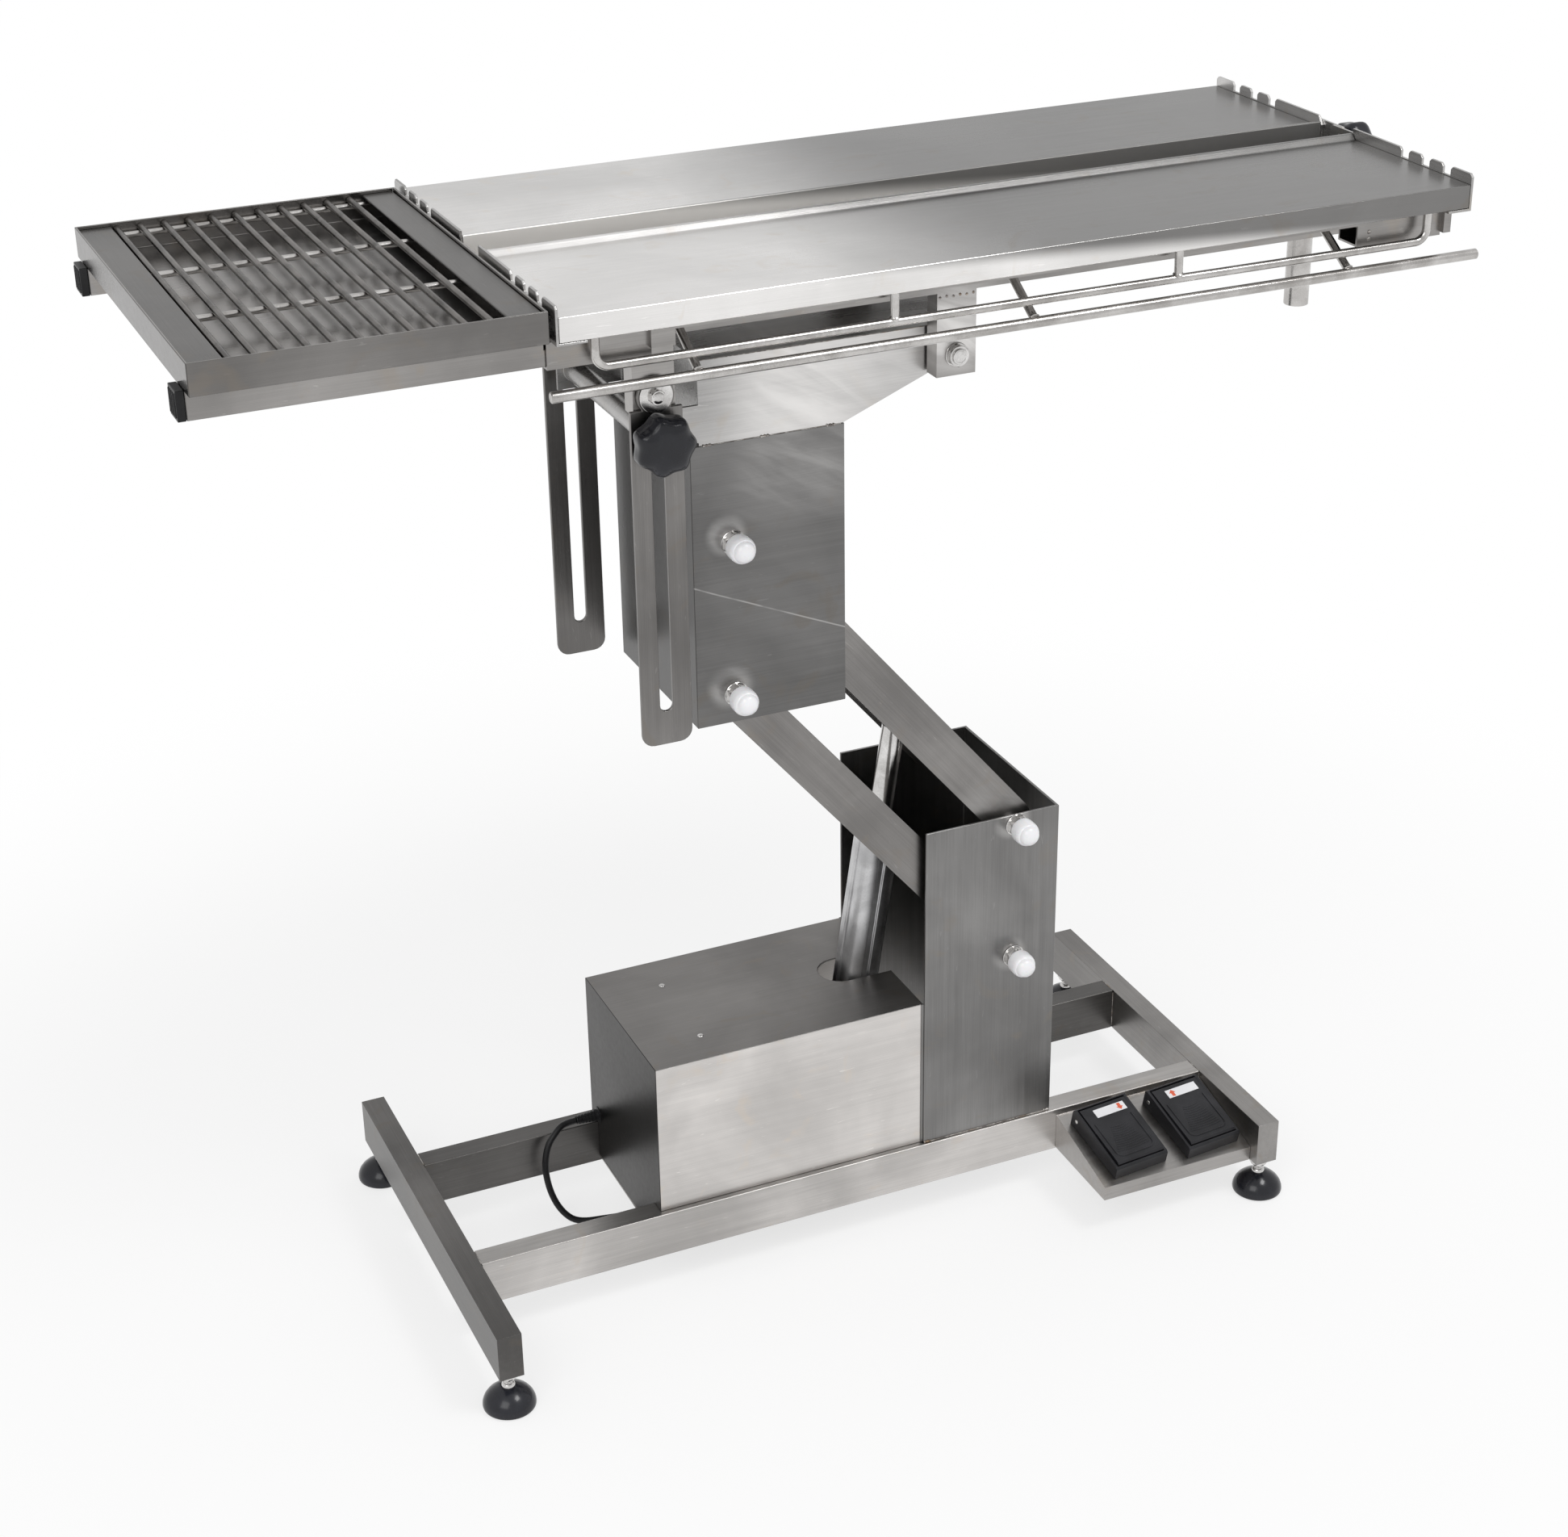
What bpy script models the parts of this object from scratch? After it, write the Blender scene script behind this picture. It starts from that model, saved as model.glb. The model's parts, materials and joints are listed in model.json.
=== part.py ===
"""Veterinary examination table with a V-top, a tilting frame and a motor lift.

Metres, +Z up. X runs along the table, from the extension tray to the head end,
and Y points away from the side with the star knob. The origin is on the floor,
under the middle of the table's bounding box.
"""
from math import atan2, cos, hypot, pi, radians, sin, sqrt

import bpy
import bmesh
import numpy as np
from mathutils import Matrix, Vector
from mathutils.geometry import tessellate_polygon

MM = 0.001
GAP = 0.3 * MM              # between pieces that touch
FRONT = -1                  # sign of Y on the knob side
BACK = 1
SIDES = (("front", FRONT), ("back", BACK))

# Base frame
BASE_L = 880 * MM
BASE_W = 455 * MM
TUBE_W = 25 * MM
TUBE_H = 50 * MM
TUBE_WALL = 2 * MM
RAIL_SPREAD = 214 * MM      # over the outer faces of the two long rails
FOOT_INSET = 14.5 * MM      # foot axis from the cross tube's end

# Levelling feet
FOOT_H = 42 * MM            # floor to the underside of the tubes
FOOT_R = 26.5 * MM
FOOT_RIM = 6 * MM
FOOT_DOME = 24 * MM
STUD_R = 5 * MM
STUD_UP = 30 * MM
LOCKNUT_R = 10 * MM
LOCKNUT_H = 7.5 * MM

# Lower column, a channel that is open towards the tray end
COLUMN_X = 518 * MM         # from the base's left end
COLUMN_D = 151 * MM
COLUMN_W = 206 * MM
COLUMN_H = 369 * MM
COLUMN_WALL = 3 * MM
LOWER_PIVOT_IN = 102 * MM   # pivot line behind the column's open edge
LOWER_PIVOT_UP = 204 * MM   # lower pivot above the rails
PIVOT_PITCH = 154 * MM      # between the two pivots of each column

# Lift arms
ARM_L = 470 * MM
ARM_ANGLE = radians(50)
ARM_DEPTH = 44 * MM
ARM_PLATE = 5 * MM
ARM_SPREAD = 184 * MM       # over the outer faces of one arm's two plates
ARM_TUBE_R = 11 * MM
PIVOT_R = 6 * MM
NUT_R = 11 * MM
NUT_H = 8 * MM
CAP_R = 13 * MM
CAP_L = 26 * MM

# Upper column
UPPER_D = 154 * MM
UPPER_W = 196 * MM
UPPER_PIVOT_IN = 40 * MM
UPPER_PIVOT_UP = 29 * MM
UPPER_H = 281 * MM
UPPER_SLOT_H = 212 * MM     # open part of the wall that the arms come through

# Tilt head on the upper column
HEAD_X = 9 * MM             # head's left edge from the column's left edge
HEAD_L = 269 * MM
HEAD_H = 81 * MM
HEAD_NOSE_H = 31 * MM       # height at the pivot end
TILT_IN = 21.5 * MM         # tilt axis from the head's right end
TILT_DOWN = 24 * MM         # tilt axis below the head's top
EAR_L = 65 * MM
EAR_UP = 3 * MM
EAR_H = 36 * MM
CLAMP_TUBE_R = 11 * MM
CLAMP_IN = 18 * MM          # clamp tube from the ear's free end

# Slotted stays
STAY_W = 50 * MM
STAY_T = 4 * MM
STAY_EAR_R = 18 * MM
STAY_SHOULDER = 12 * MM     # shoulders below the top bolt
STAY_TOP = 40 * MM          # top bolt above the clamp tube
STAY_DOWN = 341 * MM        # top bolt down to the stay's lower end
STAY_Y = 113 * MM           # inner face
SLOT_W = 13 * MM
SLOT_TOP = 2 * MM           # slot's upper centre above the clamp tube
SLOT_L = 263 * MM
STUD_M8 = 4 * MM

# Tilting frame
FRAME_RISE = 59.7 * MM      # frame rail's underside above the tilt axis
FRAME_RAIL = 20 * MM
FRAME_RAIL_Y = 101 * MM     # inner face
FRAME_WALL = 2 * MM
BRACKET_W = 40 * MM
BRACKET_DOWN = 20 * MM      # pivot bracket below its bolt
STAY_BRACKET_Y = 92 * MM
STAY_BRACKET_DOWN = 18 * MM
CROSS_W = 20 * MM
CROSS_X = 93 * MM           # left cross bar's right face from the sleeve's mouth
CROSS_END = 205.7 * MM
END_BAR_T = 8 * MM
END_BAR_H = 20.5 * MM
SHELF_Y = (150 * MM, 200 * MM)
SHELF_T = 4 * MM
SLEEVE_L = 92.7 * MM
SLEEVE_W = 30 * MM
SLEEVE_H = 20 * MM
SLEEVE_WALL = 2 * MM
HINGE_R = 3 * MM
HINGE_Y = 29 * MM

# Gutter and drain
GUTTER_W = 49 * MM
GUTTER_H = 28.5 * MM
GUTTER_T = 1.5 * MM
GUTTER_END_T = 3 * MM
LOCK_TAB_W = 15 * MM
LOCK_TAB_UP = 8 * MM
DRAIN_R = 12.5 * MM
DRAIN_BORE = 11 * MM
DRAIN_L = 115 * MM
DRAIN_X = 33 * MM           # drain's axis from the panels' right end

# Panels
PANEL_L = 900 * MM
TOP_W = 445 * MM
TOP_RISE = 43 * MM          # panels' top above the frame rail's top
PANEL_H = 22 * MM
PANEL_T = 2 * MM
PANEL_GAP = 51 * MM         # between the two panels
PANEL_RIM = 5 * MM
PANEL_RIM_W = 6 * MM
PANEL_LIP = 30 * MM
V_RANGE = radians(35)

# End plates with tie-down notches
END_T = 2.5 * MM
END_UP = 10 * MM
END_FLANGE = 25 * MM
NOTCH_DEEP = 9 * MM
NOTCH_AT = (39 * MM, 72.5 * MM, 106 * MM)   # notch centres from the outer edge
NOTCH_W = 12 * MM
LOBE_IN = 10 * MM           # lobe past the middle of the table
LAP_W = 22 * MM             # width of the joggle that carries the back lobe
LAP_BEVEL = 6.2 * MM        # back plate's inner corner, clear of the front lobe in the V
LOBE_DOWN = 9.3 * MM
LOCK_R = 4 * MM
LOCK_UP = 5.3 * MM          # lock stud above the hinge line

# Rod rails
ROD_R = 4 * MM
ROD_Y = 212 * MM
ROD_DROP = 28.7 * MM
ROD_BEND = 12 * MM
ROD_START = 34 * MM         # from the panel's left end
ROD_END = 38 * MM           # from the panel's right end
ROD_POSTS = (310 * MM, 594 * MM)
RAIL_ROD_R = 5 * MM
RAIL_ROD_Y = 215 * MM
RAIL_ROD_DOWN = 38.5 * MM   # below the frame's shelf
RAIL_ROD_OUT = (8 * MM, 19 * MM)
STRUTS = (126 * MM, 448 * MM, 778 * MM)
STRUT_TOP_Y = 158 * MM

# Extension tray
TRAY_L = 300 * MM
TRAY_W = 428 * MM
TRAY_WALL = 2 * MM
TRAY_DEEP = 28 * MM         # rim to the pan's underside
TRAY_RISE = 4 * MM          # tray's rim above the panels
TRAY_AWAY = 2.7 * MM        # tray's end to the end plates
RAIL_W = 25 * MM
RAIL_H = 15 * MM
RAIL_WALL = 1.5 * MM
RAIL_SLACK = 0.5 * MM
RAIL_END_SLACK = 4 * MM
CAP_BLOCK = 8 * MM
CAP_BLOCK_H = 26 * MM
LEDGE_W = 6 * MM
LEDGE_T = 4 * MM
GRILLE_DOWN = 3 * MM
GRILLE_PLATE_W = 28 * MM
GRILLE_PLATE_T = 2.5 * MM
GRILLE_ROD_R = 3 * MM
GRILLE_RODS = 11
GRILLE_FIRST = 37 * MM
GRILLE_PITCH = 21.8 * MM
GRILLE_LONG_Y = (-207 * MM, -69 * MM, 69 * MM, 207 * MM)

# Drive under its cover
COVER_X = 220 * MM
COVER_W = 200 * MM
COVER_H = 170 * MM
COVER_T = 2 * MM
COVER_SLOT_W = 48 * MM
COVER_SLOT_L = 72 * MM
FLOOR_UP = 5 * MM
FLOOR_T = 3 * MM
BOX_SIZE = (90 * MM, 100 * MM, 70 * MM)
BOX_X = 240 * MM
ACT_X = 465 * MM            # lower pivot of the actuator, from the base's left end
ACT_UP = 62 * MM            # above the tubes' underside
ACT_PIN_R = 5 * MM
ACT_ON_ARM = 134 * MM       # pin on the upper arm, from its lower pivot
ACT_TUBE = 40 * MM
ACT_TUBE_L = 322 * MM
ACT_ROD_R = 12 * MM
ACT_ROD_IN = 152 * MM
ACT_EYE_R = 19 * MM
ACT_EYE_BORE = 12 * MM
ACT_EYE_W = 16 * MM
ACT_LUG_R = 13 * MM
ACT_STOP = 60 * MM
MOTOR_R = 22 * MM
MOTOR_OFF = 45 * MM
MOTOR_L = 75 * MM
GEAR_BOX = (16 * MM, 50 * MM)
CLEVIS_T = 6 * MM
CLEVIS_W = 24 * MM

# Pedals
SHELF_L = 178.7 * MM
SHELF_OUT = 107 * MM
SHELF_REAR = 43 * MM
SHELF_FRONT = 16 * MM
SHEET = 2 * MM
PEDAL_W = 65 * MM
PEDAL_L = 88 * MM
PEDAL_FROM_RAIL = 15 * MM
PEDAL_TURN = radians(4.5)   # both stand a little askew on the shelf
PEDAL_REAR_H = 21 * MM
PEDAL_FRONT_H = 15.5 * MM
PEDAL_WALL = 3 * MM
PEDAL_FLOOR = 2 * MM
PEDAL_EDGE = 2 * MM         # chamfer of the upper edges
PEDAL_X = (9 * MM, 98 * MM)
PEDAL_PIN_R = 2 * MM
PEDAL_PIN_IN = 9 * MM
PEDAL_PIN_OUT = 0.2 * MM    # pin ends stand proud of the walls
TREADLE_PLAY = 1 * MM       # treadle to the walls round it
TREADLE_WALL = 2.5 * MM
TREADLE_TOP = 3.5 * MM
TREADLE_RISE = (0.8 * MM, 3.2 * MM)  # above the walls, at heel and toe
TREADLE_LOW = (5 * MM, 9.5 * MM)     # lower edge above the shelf, at heel and toe

# Knobs
KNOB_R = 30 * MM
KNOB_LOBE = 3.5 * MM
KNOB_LOBES = 7
KNOB_T = 26 * MM
KNOB_NECK = 6 * MM
HUB_R = 12 * MM
WASHER_R = 13 * MM
WASHER_T = 1.5 * MM

# Power cord
CORD_R = 3.5 * MM
CORD_EXIT = (80 * MM, 60 * MM)      # Y, and height above the tubes' underside
GLAND_L = 25 * MM
GLAND_R = 6 * MM
COIL_AT = (370 * MM, 77 * MM)       # from the base's left end, and Y
COIL_MEETS = radians(225)           # side of the coil that the cord comes to
COIL_R = 40 * MM
COIL_ROWS = (3, 2)                  # turns side by side, and layers
COIL_SIDES = 32
PLUG = (44 * MM, 34 * MM, 27 * MM)
PLUG_BACK = 17 * MM                 # plug's rear end behind the coil's middle line
PIN_R = 2.4 * MM
PIN_L = 19 * MM
PIN_APART = 19 * MM
CORD_ROUTE = (                      # from the base's left end, Y, above the tubes' underside
    (184, 79.6, 59.6), (176, 78, 58), (168.5, 75, 53), (160, 71.5, 44.5), (154.5, 67.5, 33),
    (152, 63.5, 20), (152, 59, 7), (154, 54, -6), (158, 48.5, -18), (164.5, 43.5, -28.5),
    (173, 39, -35.5), (185, 35, -38.2), (203, 31, -38.2), (228, 26.5, -38.2), (258, 22.5, -38.2),
    (288, 22, -38.2), (310, 22, -38.2),
)

# Places that follow from the sizes above
LENGTH_LEFT = CAP_BLOCK + TRAY_L + TRAY_AWAY + END_T + GAP
KNOB_OUT = GAP + END_T + GAP + END_T + GAP + KNOB_NECK + KNOB_T
LENGTH = LENGTH_LEFT + PANEL_L + KNOB_OUT
PANEL_X0 = -LENGTH / 2 + LENGTH_LEFT
PANEL_X1 = PANEL_X0 + PANEL_L
BASE_SHIFT = 117 * MM       # base's left end, left of the panels' left end
BASE_X0 = PANEL_X0 - BASE_SHIFT
BASE_X1 = BASE_X0 + BASE_L
RAIL_TOP = FOOT_H + TUBE_H
RAIL_IN = RAIL_SPREAD / 2 - TUBE_W
LOWER_X = BASE_X0 + COLUMN_X
LOWER_PIVOT = (LOWER_X + LOWER_PIVOT_IN, RAIL_TOP + LOWER_PIVOT_UP)
ARM_DX = -ARM_L * cos(ARM_ANGLE)
ARM_DZ = ARM_L * sin(ARM_ANGLE)
UPPER_PIVOT = (LOWER_PIVOT[0] + ARM_DX, LOWER_PIVOT[1] + ARM_DZ)
UPPER_X = UPPER_PIVOT[0] - UPPER_PIVOT_IN
UPPER_Z = UPPER_PIVOT[1] - UPPER_PIVOT_UP
HEAD_Z = UPPER_Z + UPPER_H + GAP
HEAD_X0 = UPPER_X + HEAD_X
HEAD_X1 = HEAD_X0 + HEAD_L
TILT = (HEAD_X1 - TILT_IN, HEAD_Z + HEAD_H - TILT_DOWN)
CLAMP = (HEAD_X0 - EAR_L + CLAMP_IN, HEAD_Z + EAR_UP + EAR_H / 2)
STAY_BOLT = (CLAMP[0], CLAMP[1] + STAY_TOP)
STAY_OUT = STAY_Y + STAY_T
FRAME_Z0 = TILT[1] + FRAME_RISE
FRAME_Z1 = FRAME_Z0 + FRAME_RAIL
TOP_Z = FRAME_Z1 + TOP_RISE
PANEL_Z0 = TOP_Z - PANEL_H
HINGE_Z = PANEL_Z0 - GAP - HINGE_R
SHELF_Z1 = HINGE_Z - 0.7 * HINGE_R
SHELF_Z0 = SHELF_Z1 - SHELF_T
SLEEVE_X0 = PANEL_X0 - 4.5 * MM
CROSS_X0 = SLEEVE_X0 + CROSS_X
END_BAR_X0 = PANEL_X1 - 14 * MM
SLEEVE_Z1 = SHELF_Z0 + 0.2 * MM
SLEEVE_Z0 = SLEEVE_Z1 - SLEEVE_H
SLEEVE_Y = (SHELF_Y[1] - SLEEVE_W, SHELF_Y[1])
LOCK_Z = HINGE_Z + LOCK_UP
TRAY_X1 = PANEL_X0 - GAP - END_T - TRAY_AWAY
TRAY_X0 = TRAY_X1 - TRAY_L
TRAY_Z1 = TOP_Z + TRAY_RISE
TRAY_RAIL_Z0 = SLEEVE_Z0 + SLEEVE_WALL + RAIL_SLACK
TRAY_Z0 = TRAY_Z1 - TRAY_DEEP
COVER_X0 = BASE_X0 + COVER_X
COVER_X1 = LOWER_X - GAP
COVER_Z1 = RAIL_TOP + COVER_H
FLOOR_Z1 = FOOT_H + FLOOR_UP + FLOOR_T
ACT_FOOT = (BASE_X0 + ACT_X, FOOT_H + ACT_UP)
ARM_TOP_PIVOT = (LOWER_PIVOT[0], LOWER_PIVOT[1] + PIVOT_PITCH)
ACT_HEAD = (ARM_TOP_PIVOT[0] + ARM_DX * ACT_ON_ARM / ARM_L, ARM_TOP_PIVOT[1] + ARM_DZ * ACT_ON_ARM / ARM_L)
ACT_L = hypot(ACT_HEAD[0] - ACT_FOOT[0], ACT_HEAD[1] - ACT_FOOT[1])
ACT_LEAN = atan2(ACT_HEAD[0] - ACT_FOOT[0], ACT_HEAD[1] - ACT_FOOT[1])
BORE = GAP                  # radial play of a pin in its bore


def clear_scene():
    """Remove every object that the file opened with."""
    for item in list(bpy.data.objects):
        bpy.data.objects.remove(item, do_unlink=True)


def finish(name, colour, roughness, metallic):
    """Make one plain material."""
    material = bpy.data.materials.new(name)
    material.use_nodes = True
    shader = material.node_tree.nodes["Principled BSDF"]
    shader.inputs["Base Color"].default_value = (*colour, 1)
    shader.inputs["Roughness"].default_value = roughness
    shader.inputs["Metallic"].default_value = metallic
    return material


def box(lo, hi):
    """A block between two corners."""
    grid = [(x, y, z) for x in (lo[0], hi[0]) for y in (lo[1], hi[1]) for z in (lo[2], hi[2])]
    faces = [(0, 1, 3, 2), (4, 6, 7, 5), (0, 4, 5, 1), (2, 3, 7, 6), (0, 2, 6, 4), (1, 5, 7, 3)]
    return grid, faces


def side_box(x, y, z, side):
    """A block given by ranges, with Y measured outwards on one side of the table."""
    ys = sorted((side * y[0], side * y[1]))
    return box((x[0], ys[0], z[0]), (x[1], ys[1], z[1]))


def prism(loops, lo, hi, axis):
    """A flat outline, with its holes, carried from lo to hi along an axis."""
    order = {"X": (2, 0, 1), "Y": (0, 2, 1), "Z": (0, 1, 2)}[axis]

    def point(u, v, w):
        return tuple((u, v, w)[k] for k in order)

    flat = [p for loop in loops for p in loop]
    count = len(flat)
    verts = [point(u, v, lo) for u, v in flat] + [point(u, v, hi) for u, v in flat]
    tris = tessellate_polygon([[Vector((u, v, 0)) for u, v in loop] for loop in loops])
    faces = [tuple(t) for t in tris] + [tuple(i + count for i in t) for t in tris]
    start = 0
    for loop in loops:
        size = len(loop)
        for k in range(size):
            a, b = start + k, start + (k + 1) % size
            faces.append((a, b, b + count, a + count))
        start += size
    return verts, faces


def disc(u, v, radius, sides=20, turn=0.0):
    """Points of a circle as a loop."""
    return [(u + radius * cos(turn + 2 * pi * k / sides), v + radius * sin(turn + 2 * pi * k / sides))
            for k in range(sides)]


def arc(u, v, radius, start, end, steps):
    """Points of an arc, both ends included, angles in radians."""
    angles = [start + (end - start) * k / steps for k in range(steps + 1)]
    return [(u + radius * cos(a), v + radius * sin(a)) for a in angles]


def round_bar(u, v, radius, lo, hi, axis, sides=20):
    """A cylinder along an axis."""
    return prism([disc(u, v, radius, sides)], lo, hi, axis)


def hexagon(u, v, radius, lo, hi, axis):
    """A hexagonal prism along an axis."""
    return prism([disc(u, v, radius, 6, pi / 6)], lo, hi, axis)


def turned(profile, sides, place):
    """A closed profile of (radius, height) turned about Z, then placed by a matrix."""
    verts = []
    faces = []
    rings = []
    for radius, height in profile:
        if radius == 0:
            rings.append([len(verts)])
            verts.append(Vector((0, 0, height)))
        else:
            rings.append(list(range(len(verts), len(verts) + sides)))
            verts += [Vector((x, y, height)) for x, y in disc(0, 0, radius, sides)]
    for below, above in zip(rings, rings[1:]):
        for k in range(sides):
            n = (k + 1) % sides
            quad = (below[k % len(below)], below[n % len(below)],
                    above[n % len(above)], above[k % len(above)])
            faces.append(tuple(dict.fromkeys(quad)))
    return [tuple(place @ v) for v in verts], faces


def tube(points, radius, sides):
    """A round bar that follows points, with flat ends."""
    path = [Vector(p) for p in points]
    verts = []
    side = None
    for k, here in enumerate(path):
        ahead = (path[min(k + 1, len(path) - 1)] - here).normalized()
        behind = (here - path[max(k - 1, 0)]).normalized()
        way = (ahead + behind).normalized()
        side = way.orthogonal() if side is None else side - way * side.dot(way)
        side.normalize()
        up = way.cross(side)
        turn = max(cos(ahead.angle(behind, 0) / 2), 0.5) if 0 < k < len(path) - 1 else 1
        bend = (ahead - behind)
        bend = bend.normalized() if bend.length > 1e-6 and 0 < k < len(path) - 1 else None
        for j in range(sides):
            offset = (side * cos(2 * pi * j / sides) + up * sin(2 * pi * j / sides)) * radius
            if bend is not None:
                offset += bend * offset.dot(bend) * (1 / turn - 1)
            verts.append(tuple(here + offset))
    faces = [tuple(range(sides)), tuple(range(len(verts) - sides, len(verts)))]
    for k in range(len(path) - 1):
        for j in range(sides):
            n = (j + 1) % sides
            faces.append((k * sides + j, k * sides + n, (k + 1) * sides + n, (k + 1) * sides + j))
    return verts, faces


def rounded(points, radius, steps):
    """A path with its corners rounded by arcs."""
    path = [Vector(p) for p in points]
    out = [path[0]]
    for before, here, after in zip(path, path[1:], path[2:]):
        a = (before - here).normalized()
        b = (after - here).normalized()
        half = a.angle(b) / 2
        reach = radius / (sin(half) / cos(half))
        centre = here + (a + b).normalized() * (radius / sin(half))
        start = here + a * reach - centre
        sweep = pi - 2 * half
        axis = start.cross(here + b * reach - centre).normalized()
        out += [centre + Matrix.Rotation(sweep * k / steps, 3, axis) @ start for k in range(steps + 1)]
    out.append(path[-1])
    return out


def moved(solid, matrix):
    """A solid placed by a matrix."""
    return [tuple(matrix @ Vector(v)) for v in solid[0]], solid[1]


def fresh_object(name, solid, pivot):
    """One object from a solid, with its faces pointing out and its origin on the pivot."""
    mesh = bpy.data.meshes.new(name)
    mesh.from_pydata([tuple(Vector(v) - Vector(pivot)) for v in solid[0]], [], solid[1])
    shape = bmesh.new()
    shape.from_mesh(mesh)
    bmesh.ops.recalc_face_normals(shape, faces=shape.faces)
    shape.to_mesh(mesh)
    shape.free()
    item = bpy.data.objects.new(name, mesh)
    item.location = pivot
    bpy.context.scene.collection.objects.link(item)
    return item


def part(name, material, solids, cuts=(), pivot=(0, 0, 0)):
    """One named solid: the union of its solids, less its cuts."""
    item = fresh_object(name, solids[0], pivot)
    tools = []
    work = [(s, "UNION") for s in solids[1:]] + [(c, "DIFFERENCE") for c in cuts]
    for solid, operation in work:
        tool = fresh_object("tool", solid, (0, 0, 0))
        tools.append(tool)
        step = item.modifiers.new(operation, "BOOLEAN")
        step.operation = operation
        step.solver = "EXACT"
        step.object = tool
    if tools:
        bpy.context.view_layer.update()
        shape = item.evaluated_get(bpy.context.evaluated_depsgraph_get())
        mesh = bpy.data.meshes.new_from_object(shape)
        item.modifiers.clear()
        item.data = mesh
        for tool in tools:
            bpy.data.objects.remove(tool, do_unlink=True)
        tidy(mesh)
    mesh = item.data
    mesh.name = name
    mesh.materials.clear()
    mesh.materials.append(material)
    mesh.shade_smooth()
    mesh.set_sharp_from_angle(angle=radians(35))
    return item


def tidy(mesh):
    """Merge the doubled points and drop the empty faces that a cut can leave."""
    shape = bmesh.new()
    shape.from_mesh(mesh)
    bmesh.ops.remove_doubles(shape, verts=shape.verts, dist=1e-6)
    bmesh.ops.dissolve_degenerate(shape, edges=shape.edges, dist=1e-6)
    shape.to_mesh(mesh)
    shape.free()


def base_frame(steel):
    """Two cross tubes on the feet, and two long rails between them."""
    stud_y = BASE_W / 2 - FOOT_INSET
    for name, x in (("left", BASE_X0), ("right", BASE_X1 - TUBE_W)):
        outer = box((x, -BASE_W / 2, FOOT_H), (x + TUBE_W, BASE_W / 2, RAIL_TOP))
        inner = box((x + TUBE_WALL, TUBE_WALL - BASE_W / 2, FOOT_H + TUBE_WALL),
                    (x + TUBE_W - TUBE_WALL, BASE_W / 2 - TUBE_WALL, RAIL_TOP - TUBE_WALL))
        holes = [round_bar(x + TUBE_W / 2, side * stud_y, STUD_R + BORE, FOOT_H - TUBE_WALL,
                           FOOT_H + 2 * TUBE_WALL, "Z") for side in (FRONT, BACK)]
        part("cross_tube_" + name, steel, [outer], [inner] + holes)
    for name, side in SIDES:
        y0, y1 = sorted((side * RAIL_SPREAD / 2, side * RAIL_IN))
        outer = [(y0, FOOT_H), (y1, FOOT_H), (y1, RAIL_TOP), (y0, RAIL_TOP)]
        wall = TUBE_WALL
        inner = [(y0 + wall, FOOT_H + wall), (y1 - wall, FOOT_H + wall),
                 (y1 - wall, RAIL_TOP - wall), (y0 + wall, RAIL_TOP - wall)]
        part("base_rail_" + name, steel,
             [prism([outer, inner], BASE_X0 + TUBE_W + GAP, BASE_X1 - TUBE_W - GAP, "X")])


def feet(rubber):
    """Four levelling feet: a domed pad, its threaded stud and its lock nut."""
    stud_y = BASE_W / 2 - FOOT_INSET
    number = 0
    for x in (BASE_X0 + TUBE_W / 2, BASE_X1 - TUBE_W / 2):
        for side in (FRONT, BACK):
            number += 1
            place = Matrix.Translation((x, side * stud_y, 0))
            profile = [(0, 0), (FOOT_R - 2 * MM, 0), (FOOT_R, 2 * MM), (FOOT_R, FOOT_RIM),
                       (0.8 * FOOT_R, 0.6 * FOOT_DOME), (0.45 * FOOT_R, 0.92 * FOOT_DOME),
                       (STUD_R + 3 * MM, FOOT_DOME), (STUD_R, FOOT_DOME + 1 * MM),
                       (STUD_R, FOOT_H + STUD_UP), (0, FOOT_H + STUD_UP)]
            nut = hexagon(x, side * stud_y, LOCKNUT_R, FOOT_H - GAP - LOCKNUT_H, FOOT_H - GAP, "Z")
            part("foot_%d" % number, rubber, [turned(profile, 20, place), nut], (), (x, side * stud_y, 0))


def pivot_bolts(chrome, white):
    """Four through bolts, each with a nut at both ends and a white cap in front."""
    spots = (("lower_arm_base", LOWER_PIVOT, COLUMN_W), ("upper_arm_base", ARM_TOP_PIVOT, COLUMN_W),
             ("lower_arm_top", UPPER_PIVOT, UPPER_W),
             ("upper_arm_top", (UPPER_PIVOT[0], UPPER_PIVOT[1] + PIVOT_PITCH), UPPER_W))
    for name, (x, z), width in spots:
        face = width / 2 + GAP
        shank = round_bar(x, z, PIVOT_R, -face - NUT_H, face + NUT_H, "Y", 16)
        nuts = [hexagon(x, z, NUT_R, face, face + NUT_H, "Y"),
                hexagon(x, z, NUT_R, -face - NUT_H, -face, "Y")]
        part("pivot_bolt_" + name, chrome, [shank] + nuts)
        turn = Matrix.Translation((x, -face - NUT_H - GAP, z)) @ Matrix.Rotation(pi / 2, 4, "X")
        profile = [(0, 0), (CAP_R, 0), (CAP_R, 0.62 * CAP_L), (0.9 * CAP_R, 0.82 * CAP_L),
                   (0.62 * CAP_R, 0.96 * CAP_L), (0, CAP_L)]
        part("pivot_cap_" + name, white, [turned(profile, 16, turn)])


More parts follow.
